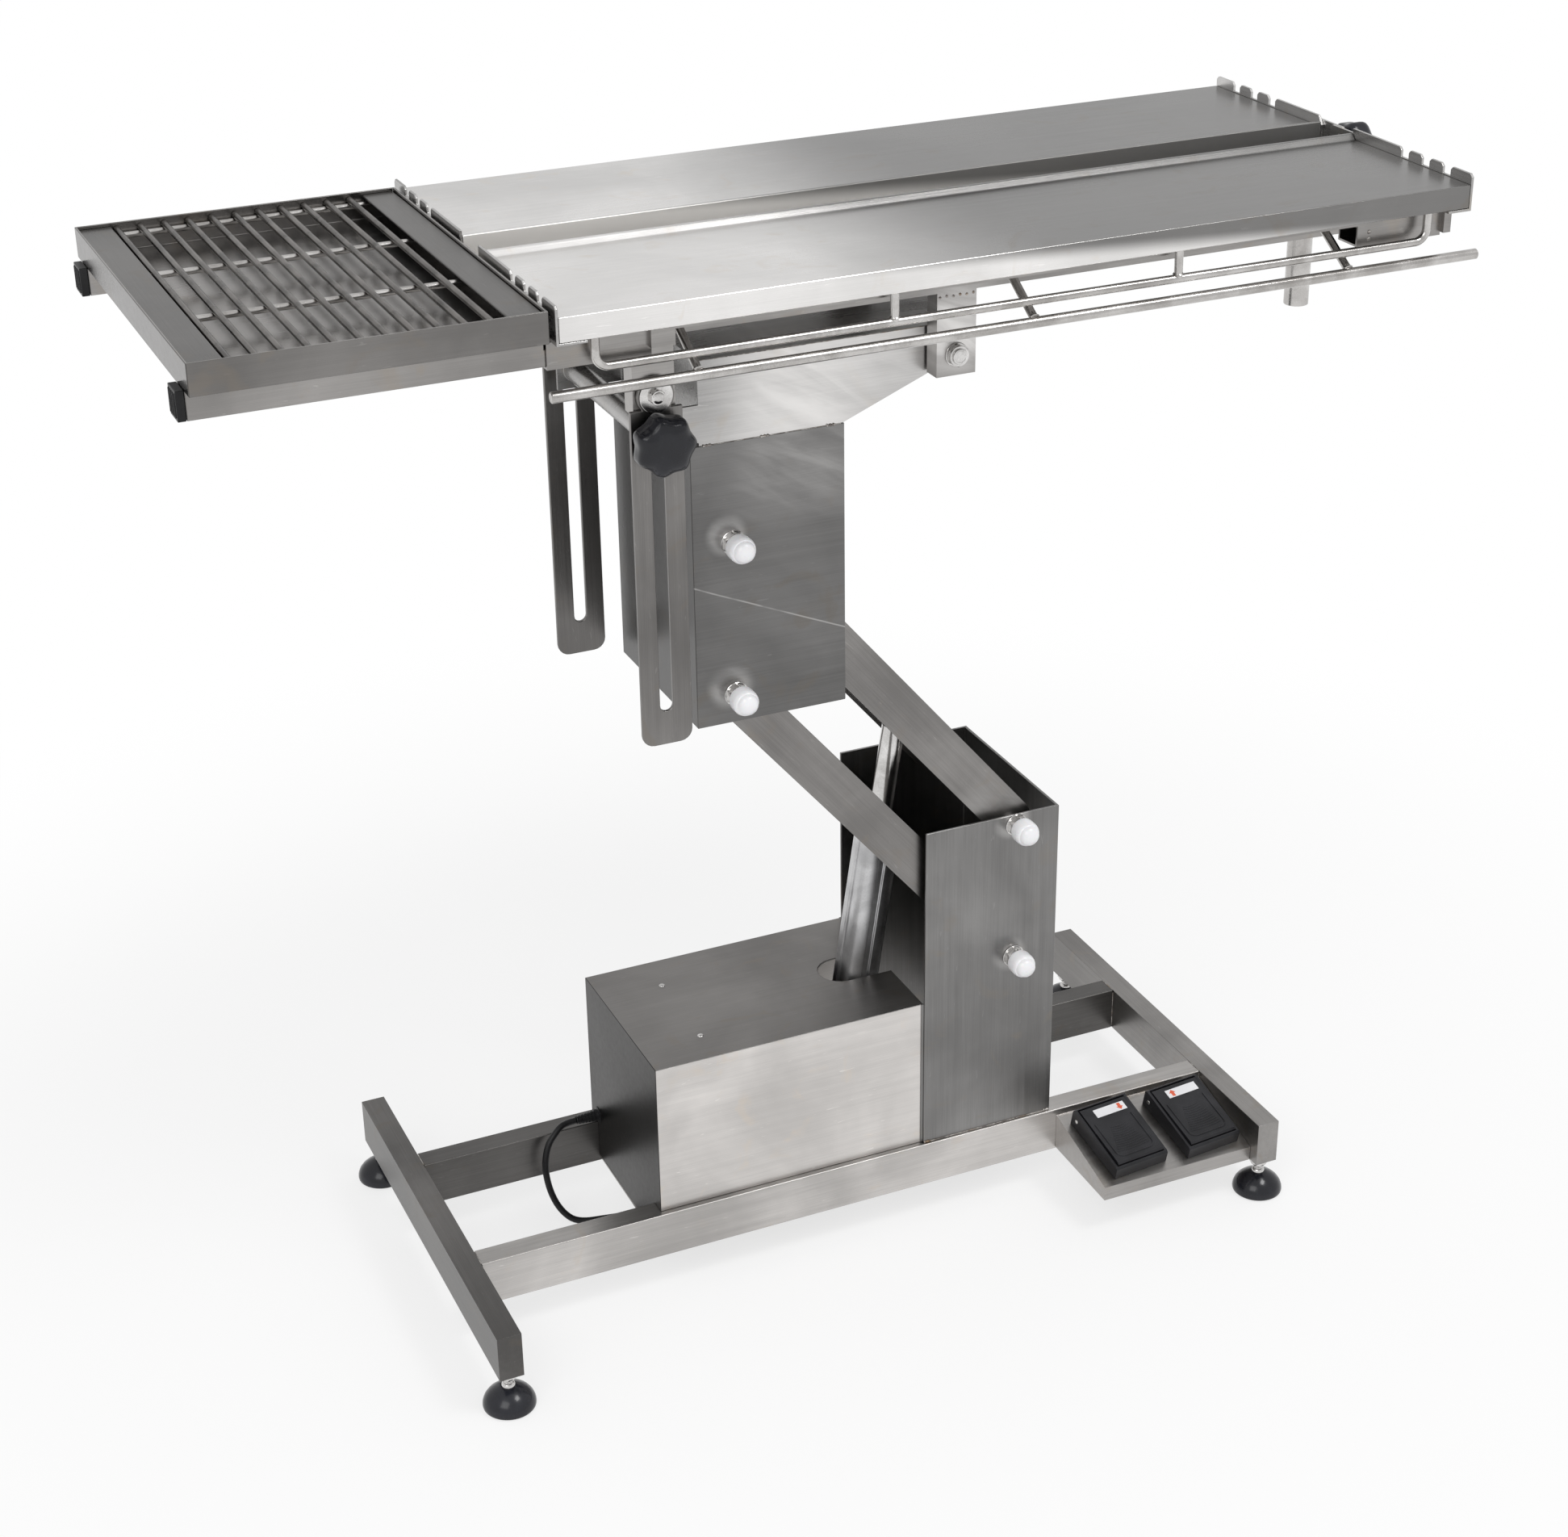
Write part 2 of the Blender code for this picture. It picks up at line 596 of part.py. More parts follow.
def lower_column(steel):
    """The fixed column on the rails, open towards the drive."""
    x0, x1 = LOWER_X, LOWER_X + COLUMN_D
    half, wall = COLUMN_W / 2, COLUMN_WALL
    outline = [(x0, -half), (x1, -half), (x1, half), (x0, half), (x0, half - wall),
               (x1 - wall, half - wall), (x1 - wall, wall - half), (x0, wall - half)]
    bores = [round_bar(x, z, PIVOT_R + BORE, -COLUMN_W, COLUMN_W, "Y", 16)
             for x, z in (LOWER_PIVOT, ARM_TOP_PIVOT)]
    part("lower_column", steel, [prism([outline], RAIL_TOP + GAP, RAIL_TOP + GAP + COLUMN_H, "Z")], bores)


def lift_arm(name, steel, foot, pins):
    """Two side plates joined by a tube at each pivot, with bores for the bolts."""
    top = (foot[0] + ARM_DX, foot[1] + ARM_DZ)
    lean = atan2(ARM_DZ, ARM_DX)
    r = ARM_DEPTH / 2
    outline = (arc(foot[0], foot[1], r, lean + pi / 2, lean + 3 * pi / 2, 8)
               + arc(top[0], top[1], r, lean - pi / 2, lean + pi / 2, 8))
    out, inn = ARM_SPREAD / 2, ARM_SPREAD / 2 - ARM_PLATE
    solids = [prism([outline], inn, out, "Y"), prism([outline], -out, -inn, "Y")]
    solids += [round_bar(x, z, ARM_TUBE_R, -out + ARM_PLATE / 2, out - ARM_PLATE / 2, "Y", 16)
               for x, z in (foot, top)]
    solids += [round_bar(x, z, ACT_PIN_R, -out + ARM_PLATE / 2, out - ARM_PLATE / 2, "Y", 12)
               for x, z in pins]
    bores = [round_bar(x, z, PIVOT_R + BORE, -ARM_SPREAD, ARM_SPREAD, "Y", 16) for x, z in (foot, top)]
    part(name, steel, solids, bores, (foot[0], 0, foot[1]))


def upper_column(steel):
    """The lifted column: a square tube whose arm side is open below."""
    x0, x1 = UPPER_X, UPPER_X + UPPER_D
    half, wall = UPPER_W / 2, COLUMN_WALL
    outline = [(x0, -half), (x1, -half), (x1, half), (x0, half)]
    inside = [(x0 + wall, wall - half), (x1 - wall, wall - half),
              (x1 - wall, half - wall), (x0 + wall, half - wall)]
    mouth = box((x1 - 2 * wall, wall - half, UPPER_Z - wall),
                (x1 + wall, half - wall, UPPER_Z + UPPER_SLOT_H))
    bores = [round_bar(x, z, PIVOT_R + BORE, -UPPER_W, UPPER_W, "Y", 16)
             for x, z in (UPPER_PIVOT, (UPPER_PIVOT[0], UPPER_PIVOT[1] + PIVOT_PITCH))]
    part("upper_column", steel, [prism([outline, inside], UPPER_Z, UPPER_Z + UPPER_H, "Z")],
         [mouth] + bores, (UPPER_PIVOT[0], 0, UPPER_PIVOT[1]))


def tilt_head(steel):
    """The hollow head that carries the tilt axle, with two ears that hold the clamp tube."""
    x0, x1, z0, z1 = HEAD_X0, HEAD_X1, HEAD_Z, HEAD_Z + HEAD_H
    knee = UPPER_X + UPPER_D - 2 * MM
    half, wall = UPPER_W / 2, COLUMN_WALL
    nose = z1 - HEAD_NOSE_H
    outline = [(x0, z0), (knee, z0), (x1, nose), (x1, z1), (x0, z1)]
    inside = [(x0 + wall, z0 - wall), (knee - wall, z0 - wall), (knee - wall, z0 + wall),
              (x1 - wall, nose + wall), (x1 - wall, z1 - wall), (x0 + wall, z1 - wall)]
    ears = [side_box((x0 - EAR_L, x0 + wall), (half - wall, half), (z0 + EAR_UP, z0 + EAR_UP + EAR_H), side)
            for side in (FRONT, BACK)]
    clamp = round_bar(CLAMP[0], CLAMP[1], CLAMP_TUBE_R, GAP - STAY_Y, STAY_Y - GAP, "Y")
    cuts = [prism([inside], wall - half, half - wall, "Y"),
            round_bar(TILT[0], TILT[1], PIVOT_R + BORE, -UPPER_W, UPPER_W, "Y", 16)]
    bore = round_bar(CLAMP[0], CLAMP[1], STUD_M8 + 2 * BORE, -STAY_OUT, STAY_OUT, "Y", 12)
    part("tilt_head", steel, [prism([outline], -half, half, "Y")] + ears + [clamp], cuts + [bore],
         (UPPER_PIVOT[0], 0, UPPER_PIVOT[1]))


def tilt_axle(chrome):
    """The bolt through the head and both frame brackets, with washers and nuts."""
    face = FRAME_RAIL_Y + FRAME_RAIL + GAP
    reach = face + WASHER_T + NUT_H
    solids = [round_bar(TILT[0], TILT[1], PIVOT_R, -reach, reach, "Y", 16)]
    for side in (FRONT, BACK):
        washer = sorted((side * face, side * (face + WASHER_T)))
        nut = sorted((side * (face + WASHER_T / 2), side * reach))
        solids.append(prism([disc(TILT[0], TILT[1], WASHER_R)], *washer, "Y"))
        solids.append(hexagon(TILT[0], TILT[1], NUT_R, *nut, "Y"))
    part("tilt_axle", chrome, solids)


def stay(name, side, steel):
    """A slotted strap that hangs from the frame and runs past the clamp."""
    x, z = STAY_BOLT
    half = STAY_W / 2
    low, corner = z - STAY_DOWN, 12 * MM
    shoulder = z - STAY_SHOULDER
    reach = sqrt(STAY_EAR_R ** 2 - STAY_SHOULDER ** 2)
    ear = atan2(-STAY_SHOULDER, reach)
    outline = (arc(x + half - corner, low + corner, corner, -pi / 2, 0, 5) + [(x + half, shoulder)]
               + arc(x, z, STAY_EAR_R, ear, pi - ear, 12) + [(x - half, shoulder)]
               + arc(x - half + corner, low + corner, corner, pi, 3 * pi / 2, 5))
    r = SLOT_W / 2
    top = CLAMP[1] + SLOT_TOP
    slot = arc(x, top, r, 0, pi, 8) + arc(x, top - SLOT_L, r, pi, 2 * pi, 8)
    lo, hi = sorted((side * STAY_Y, side * STAY_OUT))
    part(name, steel, [prism([outline, slot, disc(x, z, STUD_M8 + BORE, 12)], lo, hi, "Y")], (), (x, 0, z))


def stay_bolt(name, side, chrome):
    """The short bolt that hangs one stay from its bracket."""
    x, z = STAY_BOLT
    face = STAY_OUT + GAP
    back = STAY_BRACKET_Y - GAP

    def ring(radius, start, end, sides=16):
        return prism([disc(x, z, radius, sides)], *sorted((side * start, side * end)), "Y")

    solids = [ring(STUD_M8, back - NUT_H, face + WASHER_T), ring(16 * MM, face, face + WASHER_T, 24),
              ring(8 * MM, face + WASHER_T / 2, face + NUT_H), ring(8 * MM, back - NUT_H, back, 6)]
    part(name, chrome, solids)


def star_knob(name, material, centre, axis, reach, back_nut):
    """A seven-lobed knob on its stud. The stud runs back from the knob's foot by reach."""
    turn = {"X": Matrix.Rotation(pi / 2, 4, "Y"), "-Y": Matrix.Rotation(pi / 2, 4, "X")}[axis]
    place = Matrix.Translation(centre) @ turn
    rings = 70
    mid = KNOB_R - KNOB_LOBE
    turns = [2 * pi * k / rings for k in range(rings)]
    reaches = [mid + KNOB_LOBE * cos(KNOB_LOBES * a) for a in turns]
    star = [(r * cos(a), r * sin(a)) for r, a in zip(reaches, turns)]
    neck = round_bar(0, 0, HUB_R, 0, KNOB_NECK + 1 * MM, "Z")
    layers = ((0.9, 0), (1, 0.12), (1, 0.62), (0.93, 0.85), (0.8, 1))
    verts = [(u * s, v * s, KNOB_NECK + h * KNOB_T) for s, h in layers for u, v in star]
    faces = [tuple(range(rings)), tuple(range(len(verts) - rings, len(verts)))]
    for k in range(len(layers) - 1):
        for j in range(rings):
            n = (j + 1) % rings
            faces.append((k * rings + j, k * rings + n, (k + 1) * rings + n, (k + 1) * rings + j))
    stud = round_bar(0, 0, STUD_M8, -reach, KNOB_NECK, "Z", 12)
    solids = [(verts, faces), neck, stud]
    solids += [hexagon(0, 0, 7 * MM, *back_nut, "Z")]
    part(name, material, [moved(s, place) for s in solids], (), centre)


def frame_side(name, side, steel):
    """One half of the tilting frame, welded: rail, brackets, cross bars, shelf, sleeves, hinge rod."""
    rail_y = (FRAME_RAIL_Y, FRAME_RAIL_Y + FRAME_RAIL)
    w = FRAME_WALL
    weld = 0.5 * MM
    cross_x = (CROSS_X0 - w, CROSS_X0 + CROSS_W)
    end_x = (END_BAR_X0, END_BAR_X0 + END_BAR_T)
    rail_x = (CROSS_X0, END_BAR_X0 + weld)
    rail_z = (FRAME_Z0, max(FRAME_Z1, SHELF_Z1 - END_BAR_H + weld))
    bar_y = (GUTTER_W / 2 + GAP, CROSS_END)
    solids = [side_box(rail_x, rail_y, rail_z, side)]
    solids += [side_box(cross_x, bar_y, (rail_z[1] - weld, SHELF_Z1), side)]
    solids += [side_box(end_x, bar_y, (SHELF_Z1 - END_BAR_H, SHELF_Z1), side)]
    solids += [side_box((SLEEVE_X0, end_x[1]), SHELF_Y, (SHELF_Z0, SHELF_Z1), side)]
    solids += [prism([disc(side * HINGE_Y, HINGE_Z, HINGE_R, 12)], PANEL_X0, PANEL_X1, "X")]
    cuts = [side_box((rail_x[0] - w, rail_x[1] - w), (rail_y[0] + w, rail_y[1] - w),
                     (rail_z[0] + w, rail_z[1] - w), side)]
    for mouth in (SLEEVE_X0, END_BAR_X0 - SLEEVE_L):
        solids.append(side_box((mouth, mouth + SLEEVE_L + weld), SLEEVE_Y, (SLEEVE_Z0, SLEEVE_Z1), side))
        cuts.append(side_box((mouth - w, mouth + SLEEVE_L - GAP), (SLEEVE_Y[0] + w, SLEEVE_Y[1] - w),
                             (SLEEVE_Z0 + w, SLEEVE_Z1 - w), side))
    for x, y0, low in ((TILT[0], FRAME_RAIL_Y, TILT[1] - BRACKET_DOWN),
                       (STAY_BOLT[0], STAY_BRACKET_Y, STAY_BOLT[1] - STAY_BRACKET_DOWN)):
        reach = (x - BRACKET_W / 2, x + BRACKET_W / 2)
        solids.append(side_box(reach, (y0, y0 + FRAME_RAIL), (low, FRAME_Z0 + w / 2), side))
        cuts.append(side_box((reach[0] + w, reach[1] - w), (y0 + w, y0 + FRAME_RAIL - w),
                             (low - w, FRAME_Z0 - w), side))
    for (x, z), y0, radius, sides in ((TILT, FRAME_RAIL_Y, PIVOT_R + BORE, 16),
                                      (STAY_BOLT, STAY_BRACKET_Y, STUD_M8 + BORE, 12)):
        ends = sorted((side * (y0 - FRAME_RAIL / 2), side * (y0 + 1.5 * FRAME_RAIL)))
        cuts.append(round_bar(x, z, radius, *ends, "Y", sides))
    part(name, steel, solids, cuts, (TILT[0], 0, TILT[1]))


def gutter(steel):
    """The channel between the panels, its end tab for the lock stud, and the drain pipe."""
    x0, x1 = PANEL_X0, PANEL_X1 - 1 * MM
    half, t = GUTTER_W / 2, GUTTER_T
    low = SHELF_Z1 - GUTTER_H
    trough = box((x0, -half, low), (x1, half, SHELF_Z1))
    tab = box((x1 - GUTTER_END_T, -LOCK_TAB_W / 2, SHELF_Z1 - t), (x1, LOCK_TAB_W / 2, LOCK_Z + LOCK_TAB_UP))
    drain = PANEL_X1 - DRAIN_X
    pipe = round_bar(drain, 0, DRAIN_R, low - DRAIN_L, low + t / 2, "Z")
    cuts = [box((x0 + t, t - half, low + t), (x1 - GUTTER_END_T, half - t, SHELF_Z1 + t)),
            round_bar(drain, 0, DRAIN_BORE, low - DRAIN_L - t, low + 2 * t, "Z"),
            prism([disc(0, LOCK_Z, LOCK_R + BORE, 12)], x1 - 3 * GUTTER_END_T, x1 + GUTTER_END_T, "X")]
    part("gutter", steel, [trough, tab, pipe], cuts, (TILT[0], 0, TILT[1]))


def side_rail(name, side, steel):
    """The long straight rod on its three slanted struts."""
    z = SHELF_Z0 - RAIL_ROD_DOWN
    y = side * RAIL_ROD_Y
    solids = [round_bar(y, z, RAIL_ROD_R, PANEL_X0 - RAIL_ROD_OUT[0], PANEL_X1 + RAIL_ROD_OUT[1], "X", 10)]
    run = RAIL_ROD_Y - STRUT_TOP_Y
    rise = RAIL_ROD_DOWN - GAP - ROD_R * cos(atan2(RAIL_ROD_DOWN - ROD_R, run))
    for x in STRUTS:
        solids.append(tube([(PANEL_X0 + x, y, z), (PANEL_X0 + x, side * STRUT_TOP_Y, z + rise)], ROD_R, 10))
    part(name, steel, solids, (), (TILT[0], 0, TILT[1]))


def panel(name, side, steel):
    """One half of the top: a folded sheet with a lip outside and a raised rim at the gutter."""
    inner, outer, t = PANEL_GAP / 2, TOP_W / 2, PANEL_T
    rim = inner + PANEL_RIM_W
    z0, z1 = PANEL_Z0, TOP_Z
    outline = [(inner, z0), (inner, z1 + PANEL_RIM), (rim - 2 * MM, z1 + PANEL_RIM), (rim + 3 * MM, z1),
               (outer, z1), (outer, z0), (outer - PANEL_LIP, z0), (outer - PANEL_LIP, z0 + t),
               (outer - t, z0 + t), (outer - t, z1 - t), (inner + t, z1 - t), (inner + t, z0)]
    loop = [(side * y, z) for y, z in outline]
    part(name, steel, [prism([loop], PANEL_X0, PANEL_X1, "X")], (), (0, side * HINGE_Y, HINGE_Z))


def notched(inner, top, low, bevel=0):
    """Outline of an end plate from its inner end to the outer edge, notches cut in the top."""
    outer = TOP_W / 2
    deep = top - NOTCH_DEEP
    half = NOTCH_W / 2
    soft = 3 * MM
    points = [(inner, low), (outer, low), (outer, top - soft), (outer - soft, top)]
    for notch in NOTCH_AT:
        y = outer - notch
        points += [(y + half + soft, top), (y + half, top - soft), (y + half, deep),
                   (y - half, deep), (y - half, top - soft), (y - half - soft, top)]
    if bevel:
        return points + [(inner + bevel, top), (inner, top - 1.4 * bevel)]
    return points + [(inner, top)]


def end_plate(name, side, right, steel):
    """The upright plate at a panel's end. At the right it also carries the lock slot."""
    top, low = TOP_Z + END_UP, PANEL_Z0 - GAP - END_T
    x0 = PANEL_X1 + GAP if right else PANEL_X0 - GAP - END_T
    x1 = x0 + END_T
    inner = PANEL_GAP / 2
    flange = (x1 - END_FLANGE, x1) if right else (x0, x0 + END_FLANGE + END_T)
    solids = [side_box(flange, (HINGE_Y + HINGE_R + 4 * MM, TOP_W / 2), (low, low + END_T), side)]
    cuts = []
    if not right:
        solids.append(prism([[(side * y, z) for y, z in notched(inner, top, low)]], x0, x1, "X"))
    elif side == FRONT:
        solids.append(prism([[(side * y, z) for y, z in notched(HINGE_Y, top, low)]], x0, x1, "X"))
        solids.append(lobe(side, x0, x1, HINGE_Y + 2 * MM, top))
    else:
        solids.append(prism([[(side * y, z) for y, z in notched(inner, top, low, LAP_BEVEL)]], x0, x1, "X"))
        y0 = inner + LAP_W
        solids.append(side_box((x0 + END_T / 2, x1 + END_T), (inner + 2 * MM, y0),
                               (low + 2 * MM, top - 6 * MM), side))
        solids.append(lobe(side, x1 + GAP, x1 + GAP + END_T, y0, top))
    if right:
        cuts.append(lock_slot(side, x0 - END_T, x1 + 2 * END_T))
    part(name, steel, solids, cuts, (0, side * HINGE_Y, HINGE_Z))


def lobe(side, x0, x1, outer, top):
    """The inner end of a right end plate, which laps over the gutter's end."""
    low = HINGE_Z - LOBE_DOWN
    reach = -LOBE_IN
    soft = 4 * MM
    points = [(outer, low + 8 * MM), (HINGE_Y - 10 * MM, low), (reach + soft, low), (reach, low + soft),
              (reach, top - 2 * soft), (reach + soft, top - soft), (outer, top - soft)]
    return prism([[(side * y, z) for y, z in points]], x0, x1, "X")


def lock_slot(side, x0, x1):
    """The curved slot about the panel's hinge, through which the lock stud passes."""
    radius = hypot(HINGE_Y, LOCK_UP)
    start = atan2(LOCK_UP, HINGE_Y)
    width = LOCK_R + BORE + 0.2 * MM
    steps = 8
    slack = radians(1)
    near = arc(0, 0, radius - width, start + V_RANGE + slack, start - slack, steps)
    far = arc(0, 0, radius + width, start - slack, start + V_RANGE + slack, steps)
    a, b = start - slack, start + V_RANGE + slack
    end_low = arc(radius * cos(a), radius * sin(a), width, a + pi, a + 2 * pi, 6)[1:-1]
    end_high = arc(radius * cos(b), radius * sin(b), width, b, b + pi, 6)[1:-1]
    points = far + end_high + near + end_low
    return prism([[(side * (HINGE_Y - u), HINGE_Z + v) for u, v in points]], x0, x1, "X")


def bent_rod(name, side, steel):
    """The rod rail under a panel's edge, with two posts."""
    top, low = PANEL_Z0 - GAP, PANEL_Z0 - ROD_DROP
    y = side * ROD_Y
    x0, x1 = PANEL_X0 + ROD_START, PANEL_X1 - ROD_END
    path = rounded([(x0, y, top), (x0, y, low), (x1, y, low), (x1, y, top)], ROD_BEND, 5)
    posts = [round_bar(PANEL_X0 + x, y, ROD_R, low, top, "Z", 10) for x in ROD_POSTS]
    part(name, steel, [tube(path, ROD_R, 10)] + posts, (), (0, side * HINGE_Y, HINGE_Z))


def tray(steel, black):
    """The extension tray: pan on two rails, taller under the pan, rail caps, and the loose grille."""
    half, t = TRAY_W / 2, TRAY_WALL
    pan = box((TRAY_X0, -half, TRAY_Z0), (TRAY_X1, half, TRAY_Z1))
    basin = box((TRAY_X0 + t, t - half, TRAY_Z0 + t), (TRAY_X1 - t, half - t, TRAY_Z1 + t))
    shelf = TRAY_Z1 - GRILLE_DOWN - GRILLE_PLATE_T - GAP
    spans = ((TRAY_X0 + t / 2, TRAY_X0 + t + LEDGE_W), (TRAY_X1 - t - LEDGE_W, TRAY_X1 - t / 2))
    ledges = [box((x0, t / 2 - half, shelf - LEDGE_T), (x1, half - t / 2, shelf)) for x0, x1 in spans]
    rail_end = SLEEVE_X0 + SLEEVE_L - RAIL_END_SLACK
    rail_y = (SLEEVE_Y[0] + SLEEVE_WALL + RAIL_SLACK, SLEEVE_Y[0] + SLEEVE_WALL + RAIL_SLACK + RAIL_W)
    rails, bores = [], []
    for side in (FRONT, BACK):
        rails.append(side_box((TRAY_X0, rail_end), rail_y, (TRAY_RAIL_Z0, TRAY_RAIL_Z0 + RAIL_H), side))
        rails.append(side_box((TRAY_X0, TRAY_X1), rail_y, (TRAY_RAIL_Z0, TRAY_Z0 + t / 2), side))
        w = RAIL_WALL
        bores.append(side_box((TRAY_X0 - w, TRAY_X1 - w), (rail_y[0] + w, rail_y[1] - w),
                              (TRAY_RAIL_Z0 + w, TRAY_Z0 - w), side))
        bores.append(side_box((TRAY_X0 - w, rail_end + w), (rail_y[0] + w, rail_y[1] - w),
                              (TRAY_RAIL_Z0 + w, TRAY_RAIL_Z0 + RAIL_H - w), side))
    item = pan_shapes(pan, basin, ledges, rails, bores)
    part("tray_pan", steel, *item)
    for name, side in SIDES:
        part("tray_rail_cap_" + name, black,
             [side_box((TRAY_X0 - GAP - CAP_BLOCK, TRAY_X0 - GAP), rail_y,
                       (TRAY_RAIL_Z0, TRAY_RAIL_Z0 + CAP_BLOCK_H), side)])
    grille(steel)


def pan_shapes(pan, basin, ledges, rails, bores):
    """The pan's solids and cuts: the basin is cut before the ledges join, so they stay."""
    shell = open_box(pan, basin)
    return [shell] + ledges + rails, bores


def open_box(outer, inner):
    """A box with a basin that is open at the top, as one shell."""
    (x0, y0, z0), (x1, y1, z1) = outer[0][0], outer[0][7]
    (a0, b0, c0), (a1, b1, _) = inner[0][0], inner[0][7]
    verts = [(x0, y0, z0), (x1, y0, z0), (x1, y1, z0), (x0, y1, z0), (x0, y0, z1), (x1, y0, z1), (x1, y1, z1),
             (x0, y1, z1), (a0, b0, z1), (a1, b0, z1), (a1, b1, z1), (a0, b1, z1), (a0, b0, c0), (a1, b0, c0),
             (a1, b1, c0), (a0, b1, c0)]
    faces = [(0, 3, 2, 1), (12, 13, 14, 15)]
    for k in range(4):
        n = (k + 1) % 4
        faces += [(k, n, n + 4, k + 4), (k + 4, n + 4, n + 8, k + 8), (k + 8, n + 8, n + 12, k + 12)]
    return verts, faces


def grille(steel):
    """Two flat end plates, long rods under them, and the cross rods on top."""
    t = TRAY_WALL
    z1 = TRAY_Z1 - GRILLE_DOWN
    x0, x1 = TRAY_X0 + t + 1 * MM, TRAY_X1 - t - 1 * MM
    reach = TRAY_W / 2 - t - 1 * MM
    solids = [box((x0, -reach, z1 - GRILLE_PLATE_T), (x0 + GRILLE_PLATE_W, reach, z1)),
              box((x1 - GRILLE_PLATE_W, -reach, z1 - GRILLE_PLATE_T), (x1, reach, z1))]
    rod_z = z1 - GRILLE_ROD_R
    long_z = rod_z - 1.7 * GRILLE_ROD_R
    long_x = (x0 + LEDGE_W + 2 * MM, x1 - LEDGE_W - 2 * MM)
    plate_z = z1 - GRILLE_PLATE_T
    for y in GRILLE_LONG_Y:
        solids.append(round_bar(y, long_z, GRILLE_ROD_R, *long_x, "X", 8))
    for y in GRILLE_LONG_Y:
        for x in (long_x[0] + 2 * MM, long_x[1] - 6 * MM):
            solids.append(box((x, y - 2 * MM, long_z), (x + 4 * MM, y + 2 * MM, plate_z + 0.5 * MM)))
    for k in range(GRILLE_RODS):
        x = TRAY_X0 + GRILLE_FIRST + k * GRILLE_PITCH
        solids.append(round_bar(x, rod_z, GRILLE_ROD_R, -reach, reach, "Y", 8))
    part("tray_grille", steel, solids, (), (TRAY_X0, 0, z1))


def drive(steel, black, grey):
    """Cover, floor plate, control box, clevis and the linear actuator."""
    half, t = COVER_W / 2, COVER_T
    z0, z1 = RAIL_TOP + GAP, COVER_Z1
    shell = [(-half, z0), (-half, z1), (half, z1), (half, z0), (half - t, z0), (half - t, z1 - t),
             (t - half, z1 - t), (t - half, z0)]
    wall = box((COVER_X0, -half, z0), (COVER_X0 + t, half, z1))
    skirt = box((COVER_X0, GAP - RAIL_IN, FLOOR_Z1 + GAP), (COVER_X0 + t, RAIL_IN - GAP, z0 + t))
    r = COVER_SLOT_W / 2
    start = COVER_X1 - COVER_SLOT_L + r
    slot = arc(start, 0, r, pi / 2, 3 * pi / 2, 10) + [(COVER_X1 + t, -r), (COVER_X1 + t, r)]
    gland_z = FOOT_H + CORD_EXIT[1]
    cuts = [prism([slot], z1 - 2 * t, z1 + t, "Z"),
            prism([disc(CORD_EXIT[0], gland_z, GLAND_R + BORE, 16)], COVER_X0 - t, COVER_X0 + 2 * t, "X")]
    part("drive_cover", steel, [prism([shell], COVER_X0, COVER_X1, "X"), wall, skirt], cuts)
    part("drive_floor", steel, [box((COVER_X0, GAP - RAIL_IN, FLOOR_Z1 - FLOOR_T),
                                    (COVER_X1 - 2 * MM, RAIL_IN - GAP, FLOOR_Z1))])
    x = BASE_X0 + BOX_X
    part("control_box", grey, [box((x, -BOX_SIZE[1] / 2, FLOOR_Z1 + GAP),
                                   (x + BOX_SIZE[0], BOX_SIZE[1] / 2, FLOOR_Z1 + GAP + BOX_SIZE[2]))])
    clevis(steel)
    actuator(grey, steel)


def clevis(steel):
    """The bracket on the floor plate, with the pin that the actuator turns on."""
    x, z = ACT_FOOT
    inner = ACT_TUBE / 2 + 2 * MM
    outer = inner + CLEVIS_T
    w = CLEVIS_W / 2
    base = box((x - w - 12 * MM, -outer - 14 * MM, FLOOR_Z1 + GAP), (x + w + 12 * MM, outer + 14 * MM,
                                                                   FLOOR_Z1 + GAP + CLEVIS_T))
    ear = [(x - w, FLOOR_Z1 + CLEVIS_T / 2), (x + w, FLOOR_Z1 + CLEVIS_T / 2)] + arc(x, z, w, 0, pi, 8)
    solids = [base, prism([ear], inner, outer, "Y"), prism([ear], -outer, -inner, "Y"),
              round_bar(x, z, ACT_PIN_R, -outer + 1 * MM, outer - 1 * MM, "Y", 12)]
    part("actuator_clevis", steel, solids)


